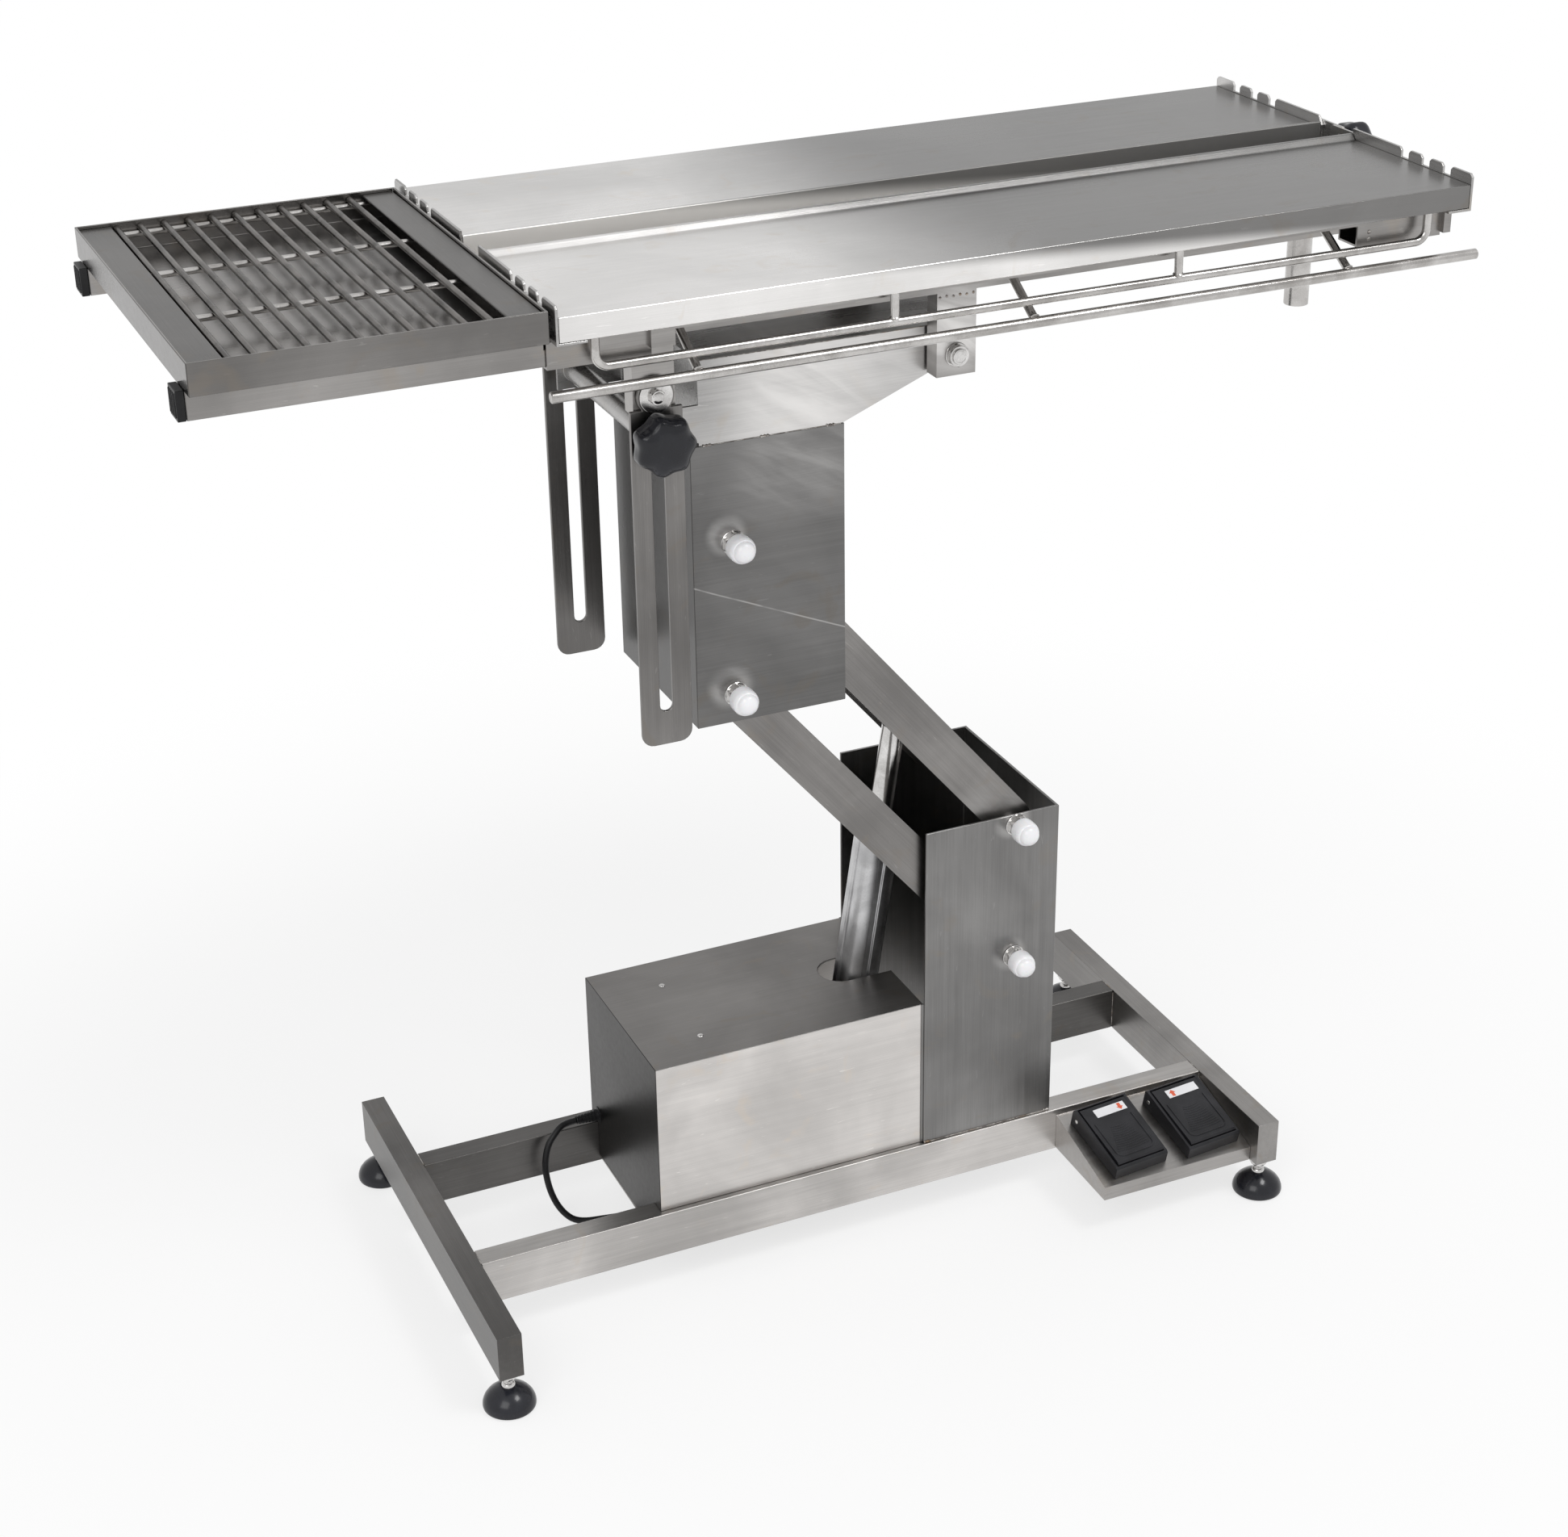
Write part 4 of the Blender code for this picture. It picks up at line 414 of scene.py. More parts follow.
def middle(node):
    """A node's middle at rest."""
    low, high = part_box(node)
    return (low + high) / 2


# Materials

WARM = (1, 0.965, 0.935)
# colour of ground polish, scratches and painted highlights
BRIGHT = (0.85, 0.835, 0.82)
# colour of painted light
PAINTED_LIGHT_PALE = (0.9, 0.885, 0.86)
# colour of painted shade
PAINTED_SHADE_DARK = (0.018, 0.017, 0.016)


def steel(name, level, rough, grain=(1, 0, 0), tint=WARM, spots=(), shades=(),
          lights=(), scratch=None, streak=1.0):
    """Brushed stainless sheet about as bright as level: streaks along the grain, a cloud, warm
    stains and fine scratches. Each spot (centre, radius, gain) is brighter in swirls: ground polish
    round a pivot, a painted highlight elsewhere. Each shade (axis, low, high, loss) is painted shade,
    darker as the place along axis goes from low to high: a darker top, side or end, and a long fall of
    tone. Each light is painted light, paler and rougher. The scratch (axis, offset) runs over the front face."""
    sheet = new_sheet(name)
    p = sheet.place
    u, v, w = basis(grain)
    along, side, other = sheet.dot(p, w), sheet.dot(p, u), sheet.dot(p, v)
    fine = sheet.noise(sheet.vector(along * 14, side * 1300, other * 1300), detail=2)
    coarse = sheet.noise(sheet.vector(along * 4, side * 170, other * 170))
    cloud = sheet.noise(p, 6.5, 4, 0.4)
    stain = sheet.noise(p, 21, 3, 1.2)
    tone = 0.5 + (cloud - 0.5) * 1.7 + ((coarse - 0.5) * 0.4 + (fine - 0.5) * 0.4) * streak
    rough_map = rough + (coarse - 0.5) * 0.1 + (cloud - 0.5) * 0.14
    marks = sheet.noise(sheet.vector(along * 60, side * 420, other * 420), detail=1, warp=0.6)
    tone = tone + sheet.ramp(marks, 0.72, 0.78) * 0.25
    dark, light = (tuple(min(0.96, k * level) * c for c in tint) for k in (0.76, 1.5))
    colour = sheet.mix(sheet.ramp(tone, 0.0, 1.25), dark, light)
    warm = tuple(c * k for c, k in zip(light, (0.74, 0.66, 0.56)))
    colour = sheet.mix(sheet.ramp(stain, 0.58, 0.74, 0, 0.35), colour, warm)
    swept_along, swept_over = sheet.dot(p, (0.9, 0, -0.44)), sheet.dot(p, (0.44, 0, 0.9))
    swirl = sheet.noise(sheet.vector(swept_along * 9, swept_over * 42, 0), detail=3, warp=0.9)
    # spots: ground polish round the pivots, painted highlights elsewhere
    for centre, radius, gain in spots:
        near = sheet.ramp(sheet.far(p, centre) + (cloud - 0.5) * radius, radius, 0.25 * radius)
        colour = sheet.mix(near * sheet.ramp(swirl, 0.25, 0.75, 0.35 * gain, gain), colour, BRIGHT)
        rough_map = rough_map + near * 0.08
    if scratch:
        axis, offset = scratch
        line = sheet.math("ABSOLUTE", sheet.dot(p, axis) - offset + (cloud - 0.5) * 0.003)
        front = sheet.ramp(sheet.dot(p, (0, -1, 0)), 0.0968, 0.0976)
        drawn = sheet.ramp(line, 0.0011, 0.0002) * sheet.ramp(stain, 0.35, 0.6, 0.08, 0.3)
        colour = sheet.mix(drawn * front, colour, BRIGHT)
    # painted light: paler, rougher bands
    for axis, low, high, gain in lights:
        near = sheet.ramp(sheet.dot(p, axis), low, high, 0, gain)
        colour = sheet.mix(near, colour, PAINTED_LIGHT_PALE)
        rough_map = rough_map + near * 0.35
    # painted shade: darker tops, sides, ends and falls of tone
    for axis, low, high, loss in shades:
        colour = sheet.mix(sheet.ramp(sheet.dot(p, axis), low, high, 0, loss), colour, PAINTED_SHADE_DARK)
    normal = sheet.bump(fine * 0.6 + coarse * 0.8 + cloud * 6, 0.2 * streak, 0.0004)
    return sheet.finish(Base_Color=colour, Metallic=1.0, Roughness=rough_map, Normal=normal)


def plain_metal(name, dark, light, rough, lines=0.0):
    """Smooth bright metal with a faint cloud, hairlines and dull patches."""
    sheet = new_sheet(name)
    cloud = sheet.noise(sheet.place, 30, 3, 0.5)
    hair = sheet.noise(sheet.place, 600, 2, 1.5)
    tone = 0.5 + (cloud - 0.5) * 1.6 + (hair - 0.5) * 0.5
    colour = sheet.mix(sheet.ramp(tone, 0.1, 0.95), dark, light)
    normal = sheet.bump(hair + cloud * lines, 0.12, 0.0003)
    return sheet.finish(Base_Color=colour, Metallic=1.0, Roughness=rough + (cloud - 0.5) * 0.12,
                        Normal=normal)


def plastic(name, dark, light, rough, grain=900, depth=0.1, coat=0.0, glow=0.0, shine=0.5):
    """Moulded plastic or rubber: fine moulding grain, worn lighter in places, dusty spots."""
    sheet = new_sheet(name)
    cloud = sheet.noise(sheet.place, 34, 4, 0.3)
    pores = sheet.noise(sheet.place, grain, 2)
    dust = sheet.noise(sheet.place, 260, 4, 0.8)
    tone = sheet.ramp(cloud + sheet.ramp(dust, 0.6, 0.75) * 0.22, 0.3, 0.85)
    normal = sheet.bump(pores, depth, 0.0003)
    return sheet.finish(Base_Color=sheet.mix(tone, dark, light), Roughness=rough + (cloud - 0.5) * 0.18,
                        Normal=normal, Coat_Weight=coat, Coat_Roughness=0.12, Subsurface_Weight=glow,
                        Subsurface_Scale=0.004, Specular_IOR_Level=shine)


def weld_metal():
    """Weld bead: bright crowns, straw and blue heat tint between them."""
    sheet = new_sheet("weld_bead")
    blot = sheet.noise(sheet.place, 170, 3, 0.6)
    tint = sheet.noise(sheet.place, 60, 2, 1.0)
    colour = sheet.mix(sheet.ramp(blot, 0.3, 0.7), (0.16, 0.14, 0.13), (0.62, 0.6, 0.57))
    colour = sheet.mix(sheet.ramp(tint, 0.5, 0.68, 0, 0.55), colour, (0.3, 0.2, 0.11))
    normal = sheet.bump(blot, 0.5, 0.0005)
    return sheet.finish(Base_Color=colour, Metallic=1.0, Roughness=0.24 + blot * 0.2, Normal=normal)


ARM_WAY = (-cos(radians(50)), 0, sin(radians(50)))
NEUTRAL = (1, 0.985, 0.97)
UP, LEFT = (0, 0, 1), (-1, 0, 0)
# upper column: the two wide spots are swirl polish by the seam brightened as painted highlights; the two small
# ones are ground halos round the arm pivots
UPPER_HIGHLIGHTS_AND_HALOS = [((-0.060, -0.098, 0.880), 0.085, 0.25), ((0.0, -0.098, 0.862), 0.06, 0.2),
               ((-0.117, -0.098, 0.818), 0.024, 0.7), ((-0.117, -0.098, 0.664), 0.028, 0.7)]
# painted highlights across the head's front
HEAD_PAINTED_HIGHLIGHTS = [((-0.04, -0.098, 0.955), 0.11, 1.0), ((0.06, -0.098, 0.975), 0.07, 0.3)]
COLUMN_SPOTS = [((0.186, -0.103, 0.455), 0.022, 0.6), ((0.186, -0.103, 0.3), 0.022, 0.6)]
ARM_SPOTS = [((0.165, -0.092, 0.462), 0.055, 0.2), ((-0.085, -0.092, 0.665), 0.05, 0.15)]
# painted highlight on the top frame's right bracket
FRAME_PAINTED_HIGHLIGHT = [((0.109, -0.121, 0.995), 0.06, 1.0)]

# Each steel's level is matched to how bright its part looks where it stands, so besides real differences of
# finish the spread of levels holds painted light and shade.
STEEL_LONG = steel("steel_along_x", 0.33, 0.33)
# The top frame carries a painted highlight on its right bracket.
STEEL_FRAME = steel("steel_top_frame", 0.33, 0.33, spots=FRAME_PAINTED_HIGHLIGHT)
# Painted light and shade: the front rail is a lit copy of the tube steel with its top face painted darker; the
# back rail and the left tube are shaded copies.
STEEL_FRONT_RAIL_LIT = steel("steel_front_rail_painted_light_and_shade", 0.52, 0.33, shades=[(UP, 91.2 * MM, 91.8 * MM, 0.3)])
STEEL_BACK_RAIL_SHADED = steel("steel_back_rail_painted_shade", 0.11, 0.34)
STEEL_LEFT_TUBE_SHADED = steel("steel_left_tube_painted_shade", 0.13, 0.34, (0, 1, 0))
STEEL_CROSS = steel("steel_along_y", 0.26, 0.34, (0, 1, 0))
STEEL_UP = steel("steel_along_z", 0.19, 0.32, UP)
STEEL_COLUMN = steel("steel_lower_column", 0.22, 0.32, UP, NEUTRAL, COLUMN_SPOTS)
# Painted light and shade on the drive cover: its level is raised for the lit front, and the top and the left
# face are painted darker.
STEEL_COVER = steel("steel_cover_painted_light_and_shade", 0.7, 0.36, streak=0.7, shades=[
    (UP, COVER_TOP - 0.8 * MM, COVER_TOP - 0.2 * MM, 0.7), (LEFT, 208.4 * MM, 209 * MM, 0.96)])
# Painted shade on the upper column's left face, and painted highlights near its top.
STEEL_UPPER = steel("steel_upper_column", 0.15, 0.31, (1, 0, 0), NEUTRAL, UPPER_HIGHLIGHTS_AND_HALOS,
                    [(LEFT, 150.6 * MM, 151.2 * MM, 0.45)], scratch=((0.4005, 0, 0.9163), 0.6457), streak=0.8)
# Painted light and shade on the head: highlights across its front, and its left end painted darker.
STEEL_HEAD = steel("steel_head", 0.52, 0.27, (1, 0, 0), NEUTRAL, HEAD_PAINTED_HIGHLIGHTS, [(LEFT, 0.08, 0.14, 0.3)])
STEEL_ARM = steel("steel_arm", 0.225, 0.33, ARM_WAY, WARM, ARM_SPOTS)

# Painted reflection: the panels are pale at the left and fall off in painted shade,
# over the top first and down the front edge later
FALL_STEEP, PANEL_Z = 18, 1.088
PANEL_PAINTED_FALL = ((1, 0, FALL_STEEP), FALL_STEEP * PANEL_Z - 0.12, FALL_STEEP * PANEL_Z + 0.16, 0.74)
# Each panel's wall at the gutter is made paler and rougher in painted light.
TOP_FRONT = steel("steel_panel_front", 0.94, 0.25, (1, 0, 0), NEUTRAL, (), [PANEL_PAINTED_FALL],
                  [((0, 1, 0), -26.3 * MM, -25.8 * MM, 0.9)], streak=0.6)
TOP_BACK = steel("steel_panel_back", 0.84, 0.25, (1, 0, 0), NEUTRAL, (), [PANEL_PAINTED_FALL],
                 [((0, -1, 0), -26.3 * MM, -25.8 * MM, 0.9)], streak=0.6)
STEEL_EDGE = steel("steel_end_plate", 0.46, 0.28, (0, 1, 0), NEUTRAL)
# Painted shade on the tray: its front wall and its left wall are darker.
STEEL_TRAY = steel("steel_tray", 0.3, 0.24, (1, 0, 0), WARM, (), [
    ((0, -1, 0), 213.3 * MM, 213.9 * MM, 0.35), (LEFT, 616.6 * MM, 617.3 * MM, 0.5)], streak=0.6)
STEEL_PLATE = steel("steel_grille_plate", 0.13, 0.3, (0, 1, 0))
# Painted light: the gutter's level is raised so its trough, which lies in shade, reads light.
STEEL_GUTTER = steel("steel_gutter_painted_light", 0.62, 0.5, (1, 0, 0), NEUTRAL, streak=0.5)
ROD = plain_metal("rod_bright", (0.36, 0.345, 0.33), (0.62, 0.605, 0.59), 0.2, 2)
ROD_DARK = plain_metal("rod_brown_grey", (0.06, 0.055, 0.05), (0.2, 0.187, 0.175), 0.28, 2)
CHROME = plain_metal("chrome", (0.45, 0.44, 0.43), (0.78, 0.77, 0.76), 0.16)
ALUMINIUM = plain_metal("aluminium", (0.42, 0.42, 0.425), (0.66, 0.66, 0.665), 0.34, 3)
MOTOR_GREY = plastic("motor_grey", (0.1, 0.103, 0.107), (0.17, 0.174, 0.18), 0.5, 700, 0.2)
GLOSS_BLACK = plastic("gloss_black", (0.0085, 0.009, 0.0125), (0.02, 0.021, 0.028), 0.22, 1200,
                      0.05, 0.2, shine=0.3)
PEDAL_BLACK = plastic("pedal_black", (0.009, 0.009, 0.011), (0.024, 0.024, 0.028), 0.36, 1500,
                      0.18, shine=0.35)
RUBBER = plastic("rubber", (0.008, 0.008, 0.009), (0.022, 0.022, 0.023), 0.36, 800, 0.12, shine=0.25)
WHITE_CAP = plastic("white_cap", (0.84, 0.84, 0.86), (0.9, 0.9, 0.91), 0.3, 500, 0.05, 0.2, 0.04)
LABEL = plastic("label_white", (0.76, 0.76, 0.78), (0.86, 0.86, 0.87), 0.42, 900, 0.03)
ORANGE = plastic("arrow_orange", (0.66, 0.1, 0.045), (0.78, 0.15, 0.06), 0.45, 900, 0.03)
WELD = weld_metal()


# Power cord

def smooth_path(points, pitch):
    """Catmull-Rom curve through the points, at an even pitch."""
    p = np.array(points, float)
    p = np.concatenate([[2 * p[0] - p[1]], p, [2 * p[-1] - p[-2]]])
    t = np.linspace(0, 1, 24, endpoint=False)[:, None]
    runs = [0.5 * (2 * b + (c - a) * t + (2 * a - 5 * b + 4 * c - d) * t ** 2
                   + (3 * b - a - 3 * c + d) * t ** 3) for a, b, c, d in zip(p, p[1:], p[2:], p[3:])]
    fine = np.concatenate(runs + [p[-2:-1]])
    run = np.concatenate([[0], np.cumsum(np.linalg.norm(np.diff(fine, axis=0), axis=1))])
    marks = np.linspace(0, run[-1], max(2, round(run[-1] / pitch) + 1))
    return np.stack([np.interp(marks, run, fine[:, k]) for k in range(3)], axis=1)


CORD_R = 3.5 * MM
CORD_ROUTE = (              # mm from the base's left end, its middle and the tubes' underside
    (184, 79.6, 59.6), (176, 78, 58), (168.5, 75, 53), (160, 71.5, 44.5), (154.5, 67.5, 33),
    (152, 63.5, 20), (152, 59, 7), (154, 54, -6), (158, 48.5, -18), (164.5, 43.5, -28.5),
    (173, 39, -35.5), (185, 35, -38.2), (203, 31, -38.2), (228, 26.5, -38.2), (258, 22.5, -38.2),
    (288, 22, -38.2), (312, 23.5, -38.2), (338, 27.3, -38.2))
COIL_X, COIL_Y = BASE_X0 + 370 * MM, 77 * MM
COIL_TURNS, COIL_STEPS = 6, 24
COIL_R, COIL_PITCH = 47, 7          # mm
PLUG_RUN, PLUG_Y, PLUG_Z = 67.56 * MM, 60 * MM, 13.5 * MM     # from the coil's middle, Y, Z
PLUG_BEND = 30 * MM


def power_cord():
    """The lead from its relief to the floor, six turns in two layers, and on to the plug."""
    low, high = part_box("cord_gland")
    exit_at = Vector((low.x - GAP, (low.y + high.y) / 2, (low.z + high.z) / 2))
    points = [tuple(exit_at)]
    points += [(BASE_X0 + a * MM, b * MM, TUBE_Z + c * MM) for a, b, c in CORD_ROUTE]
    for k in range(COIL_TURNS * COIL_STEPS + 1):
        t = k / COIL_STEPS
        row = min(t, COIL_TURNS - t)
        reach = (COIL_R - COIL_PITCH * min(2.0, max(0.0, row - 0.5))) * MM
        rise = 0.5 - 0.5 * cos(pi * min(1.0, max(0.0, (t - 2.6) / 0.8)))
        a = 2 * pi * t - pi / 2
        points.append((COIL_X + reach * cos(a), COIL_Y + reach * sin(a),
                       CORD_R + GAP + 2 * CORD_R * rise))
    px, py = COIL_X + PLUG_RUN, PLUG_Y
    for a, z in ((0, 10.2), (25, 6.5), (50, 5), (72, 8), (90, 12.6)):
        turn = radians(a) - pi / 2
        points.append((px - PLUG_BEND + PLUG_BEND * cos(turn), py + PLUG_BEND * sin(turn), z * MM))
    points.append((px, py + 4 * MM, PLUG_Z))
    path = smooth_path(points, 4 * MM)
    lead = piece("power_lead", [swept(path, CORD_R, 14)], "base", RUBBER, "cord_rubber")
    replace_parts(lead, "cord_lead", "cord_coil")

    ribs = [(0, 0), (8.6, 0), (9, 0.6), (9, 2.6), (6.4, 3.4)]
    for k in range(6):
        start, reach = 4.6 + 3.6 * k, 6.3 - 0.28 * k
        ribs += [(reach, start), (reach, start + 2), (reach - 1.1, start + 2.4), (reach - 1.1, start + 3.2)]
    ribs += [(4.4, 26.6), (4.1, 27.2), (0, 27.2)]
    profile = [(a * MM, h * MM) for a, h in ribs]
    relief = piece("cord_relief", [turned(profile, (high.x, exit_at.y, exit_at.z), (-1, 0, 0), 32)],
                   "base", RUBBER, "cord_rubber", soft=28)
    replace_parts(relief, "cord_gland")

    low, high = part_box("cord_plug")
    x, y, z = (low.x + high.x) / 2, low.y, PLUG_Z
    left, right = low.x + 0.4 * MM, high.x - 0.4 * MM
    body = [(x - 6.5 * MM, y), (x + 6.5 * MM, y), (low.x + 31 * MM, y + 9 * MM), (right, y + 18 * MM),
            (right, y + 44 * MM), (left, y + 44 * MM), (left, y + 18 * MM),
            (low.x + 3 * MM, y + 9 * MM)]
    shapes = [slab(body, 1 * MM, 26 * MM, Matrix())]
    for k in range(4):
        shapes.append(block((low.x + 0.2 * MM, y + (22 + 5 * k) * MM, 7 * MM),
                            (high.x - 0.2 * MM, y + (24.4 + 5 * k) * MM, 20 * MM)))
    plug = piece("plug_body", shapes, "base", RUBBER, "cord_rubber", bevel=1.6 * MM, segments=3)
    pins = []
    for side in (-9.5, 9.5):
        pins.append(turned([(2.4 * MM, 0), (2.4 * MM, 17.6 * MM), (1.7 * MM, 18.8 * MM), (0, 18.9 * MM)][::-1]
                           + [(0, -1 * MM)], (x + side * MM, y + 44 * MM, z), (0, 1, 0), 20))
    pins = piece("plug_pins", pins, "base", CHROME, "bright_hardware")
    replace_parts(plug, "cord_plug")


# Hardware

def hexed(flat):
    """Radius rule of a nut: the lesser of a hexagon of half width flat and the given circle."""
    return lambda a, r: np.minimum(flat / np.cos((a + pi / 6) % (pi / 3) - pi / 6), r)


def nut(centre, axis, across, height):
    """A chamfered hexagon nut whose foot is at centre."""
    flat, corner, soft = across / 2, across / sqrt(3), 0.1 * across
    profile = [(0, 0), (flat, 0), (corner, soft), (corner, height - soft), (flat, height), (0, height)]
    return turned(profile, centre, axis, 48, hexed(flat))


def shank(centre, axis, radius, low, high, sides=28):
    """A plain round bar along the axis from low to high, with flat ends."""
    return turned([(0, low), (radius, low), (radius, high), (0, high)], centre, axis, sides)


def washer(centre, axis, radius, bore, thick):
    """A flat ring with softened rims."""
    soft = 0.25 * thick
    return turned([(bore, 0), (radius - soft, 0), (radius, soft), (radius, thick - soft),
                   (radius - soft, thick), (bore, thick)], centre, axis, 40, ring=True)


def threaded(centre, axis, radius, length, pitch=1.25 * MM):
    """A bolt end: grooves at the thread's pitch and a rounded tip."""
    depth = 0.1 * radius
    profile = [(0, 0), (radius, 0)]
    for k in range(int((length - 1.5 * MM) / pitch)):
        profile += [(radius, (k + 0.4) * pitch), (radius - depth, (k + 0.7) * pitch),
                    (radius, (k + 1) * pitch)]
    profile += [(radius - 0.8 * MM, length - 0.2 * MM), (0, length)]
    return turned(profile, centre, axis, 28)


def dome(centre, axis, radius, height, sides=14):
    """A low round bump, for weld dots and screw heads."""
    angles = np.linspace(0, pi / 2, 6)
    profile = [(0, -0.5 * height), (radius, -0.5 * height)]
    profile += [(radius * cos(a), height * sin(a)) for a in angles[:-1]] + [(0, height)]
    return turned(profile, centre, axis, sides)


def feet():
    """Levelling feet: glossy domed pad, ball neck, threaded stud and lock nut."""
    pad = [(0, 0), (22, 0), (24.8, 0.5), (26.2, 1.6), (26.5, 3), (26.2, 6), (24.8, 10), (22, 14),
           (18, 17.6), (13.5, 20.6), (9, 22.8), (6.6, 23.8), (0, 24)]
    for k in range(1, 5):
        name = "foot_%d" % k
        spot = middle(name)
        foot = piece(name + "_pad",
                     [turned([(r * MM, h * MM) for r, h in pad], (spot.x, spot.y, 0), sides=56)],
                     name, GLOSS_BLACK, "foot_pads", soft=50)
        neck = turned([(0, 22 * MM), (6.4 * MM, 22.6 * MM), (6.9 * MM, 25 * MM), (6.1 * MM, 27 * MM),
                       (4.6 * MM, 28 * MM), (0, 28.2 * MM)], (spot.x, spot.y, 0), sides=28)
        stud = threaded((spot.x, spot.y, 27 * MM), (0, 0, 1), 4.9 * MM, 44.6 * MM, 1.5 * MM)
        lock = nut((spot.x, spot.y, 34.2 * MM), (0, 0, 1), 17 * MM, 7.4 * MM)
        piece(name + "_stud", [neck, stud, lock], name, CHROME, "bright_hardware")
        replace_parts(foot, name)


def pivots():
    """The four through bolts: washer, nut and bolt end at both sides, a white cap in front."""
    for end, width in (("lower_arm_base", 206), ("upper_arm_base", 206), ("lower_arm_top", 196),
                       ("upper_arm_top", 196)):
        body = BODY_OF["pivot_bolt_" + end]
        spot = middle("pivot_bolt_" + end)
        face = width / 2 * MM + GAP
        shapes = [shank((spot.x, 0, spot.z), (0, 1, 0), 6 * MM, -face, face)]
        for side in (-1, 1):
            out = (0, side, 0)
            shapes.append(washer((spot.x, side * face, spot.z), out, 12.2 * MM, 5 * MM, 1.4 * MM))
            shapes.append(nut((spot.x, side * (face + 1.2 * MM), spot.z), out, 19 * MM, 6.6 * MM))
        shapes.append(threaded((spot.x, -(face + 7 * MM), spot.z), (0, -1, 0), 5.8 * MM, 5 * MM))
        bolt = piece("bolt_" + end, shapes, body, CHROME, "bright_hardware")
        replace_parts(bolt, "pivot_bolt_" + end)
        profile = [(0, 0), (11.8, 0), (12.6, 0.8), (13, 2.6), (13, 11), (12.7, 13), (11.9, 15.2), (11.3, 16),
                   (10.8, 16.3), (10.5, 17.2), (9.7, 19.4), (7.8, 21.5), (4.6, 22.8), (0, 23.3)]
        cap_at = (spot.x, -(face + 10.8 * MM), spot.z)
        cap = piece("cap_" + end, [turned([(r * MM, h * MM) for r, h in profile], cap_at, (0, -1, 0), 44)],
                    body, WHITE_CAP, "white_caps", soft=40)
        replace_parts(cap, "pivot_cap_" + end)


def tilt_bolts():
    """The long tilt axle and the two short stay bolts, with wide washers and lock nuts."""
    spot = middle("tilt_axle")
    face = 121 * MM + GAP
    shapes = [shank((spot.x, 0, spot.z), (0, 1, 0), 6 * MM, -face, face)]
    for side in (-1, 1):
        out = (0, side, 0)
        shapes.append(washer((spot.x, side * face, spot.z), out, 11.4 * MM, 5 * MM, 1.5 * MM))
        shapes.append(nut((spot.x, side * (face + 1.4 * MM), spot.z), out, 19 * MM, 5.4 * MM))
        collar = [(0, 0), (7.6, 0), (7.6, 1), (7.2, 1.9), (5.4, 2.3), (5.2, 2), (0, 2)]
        shapes.append(turned([(r * MM, h * MM) for r, h in collar],
                             (spot.x, side * (face + 6.8 * MM), spot.z), out, 32))
    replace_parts(piece("tilt_axle_bolt", shapes, "top_frame", CHROME, "bright_hardware"), "tilt_axle")
    for name, side in SIDES:
        low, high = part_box("stay_bolt_" + name)
        x, z = (low.x + high.x) / 2, (low.z + high.z) / 2
        face = 117 * MM + GAP
        back = 91.7 * MM
        shapes = [shank((x, 0, z), (0, side, 0), 4 * MM, back - 6 * MM, face, 24),
                  washer((x, side * face, z), (0, side, 0), 15.8 * MM, 4 * MM, 1.2 * MM),
                  nut((x, side * (face + 1.1 * MM), z), (0, side, 0), 13 * MM, 5.2 * MM),
                  dome((x, side * (face + 6 * MM), z), (0, side, 0), 5.6 * MM, 1.8 * MM, 32),
                  nut((x, side * (back - 7.6 * MM), z), (0, side, 0), 13 * MM, 7.4 * MM)]
        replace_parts(piece("stay_bolt_set_" + name, shapes, "top_frame", CHROME, "bright_hardware"),
                    "stay_bolt_" + name)


def star_knob(name, node, body, centre, axis, reach):
    """A seven-lobed knob: rounded rim and crown over a neck, on its stud."""
    def lobes(a, r):
        return r * (1 - 0.115 * (0.5 - 0.5 * np.cos(7 * a)) ** 0.8 * min(1.0, r / (26 * MM)))
    profile = [(0, 5.2), (14, 5.2), (20, 5.6), (25.5, 6.2), (28, 7.6), (29.1, 10), (29.2, 13), (29.2, 19.5),
               (28.9, 22.4), (27.8, 25), (25.8, 27.4), (22.8, 29.4), (18.8, 30.8), (13.6, 31.6), (7, 31.95),
               (0, 32)]
    head = turned([(r * MM, h * MM) for r, h in profile], centre, axis, 140, lobes)
    neck = turned([(0, 0), (11.4 * MM, 0), (12 * MM, 0.6 * MM), (12 * MM, 5.6 * MM), (0, 5.6 * MM)],
                  centre, axis, 40)
    knob = piece(name + "_head", [head, neck], body, GLOSS_BLACK, "black_plastic", soft=48)
    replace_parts(knob, node)
    length, nut_at = reach
    back = [-a for a in axis]
    shapes = [shank(centre, back, 3.9 * MM, -1 * MM, length - 9 * MM, 24),
              threaded(Vector(centre) + Vector(back) * (length - 10 * MM), back, 3.9 * MM, 9.6 * MM),
              nut(Vector(centre) + Vector(back) * nut_at, back, 12.1 * MM, 7 * MM)]
    piece(name + "_stud", shapes, body, CHROME, "bright_hardware")


def knobs():
    """The clamp knob on its long stud, and the smaller lock knob at the head end."""
    face = 117 * MM + GAP
    x, _, z = JOINT["clamp_knob_turn"]["pos_m"]
    star_knob("clamp", "clamp_knob", "clamp_knob", (x, -face, z), (0, -1, 0),
              (2 * face + 8 * MM, 2 * face + 0.2 * MM))
    low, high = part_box("v_lock_knob")
    start = high.x - 32 * MM
    star_knob("lock", "v_lock_knob", "v_lock_knob", (start, 0, JOINT["v_lock_knob_turn"]["pos_m"][2]),
              (1, 0, 0), (start - low.x, start - low.x - 7.4 * MM))


PANEL_POSTS = (310 * MM, 594 * MM)              # from the panel's left end
RAIL_STRUTS = (126 * MM, 448 * MM, 778 * MM)    # the same


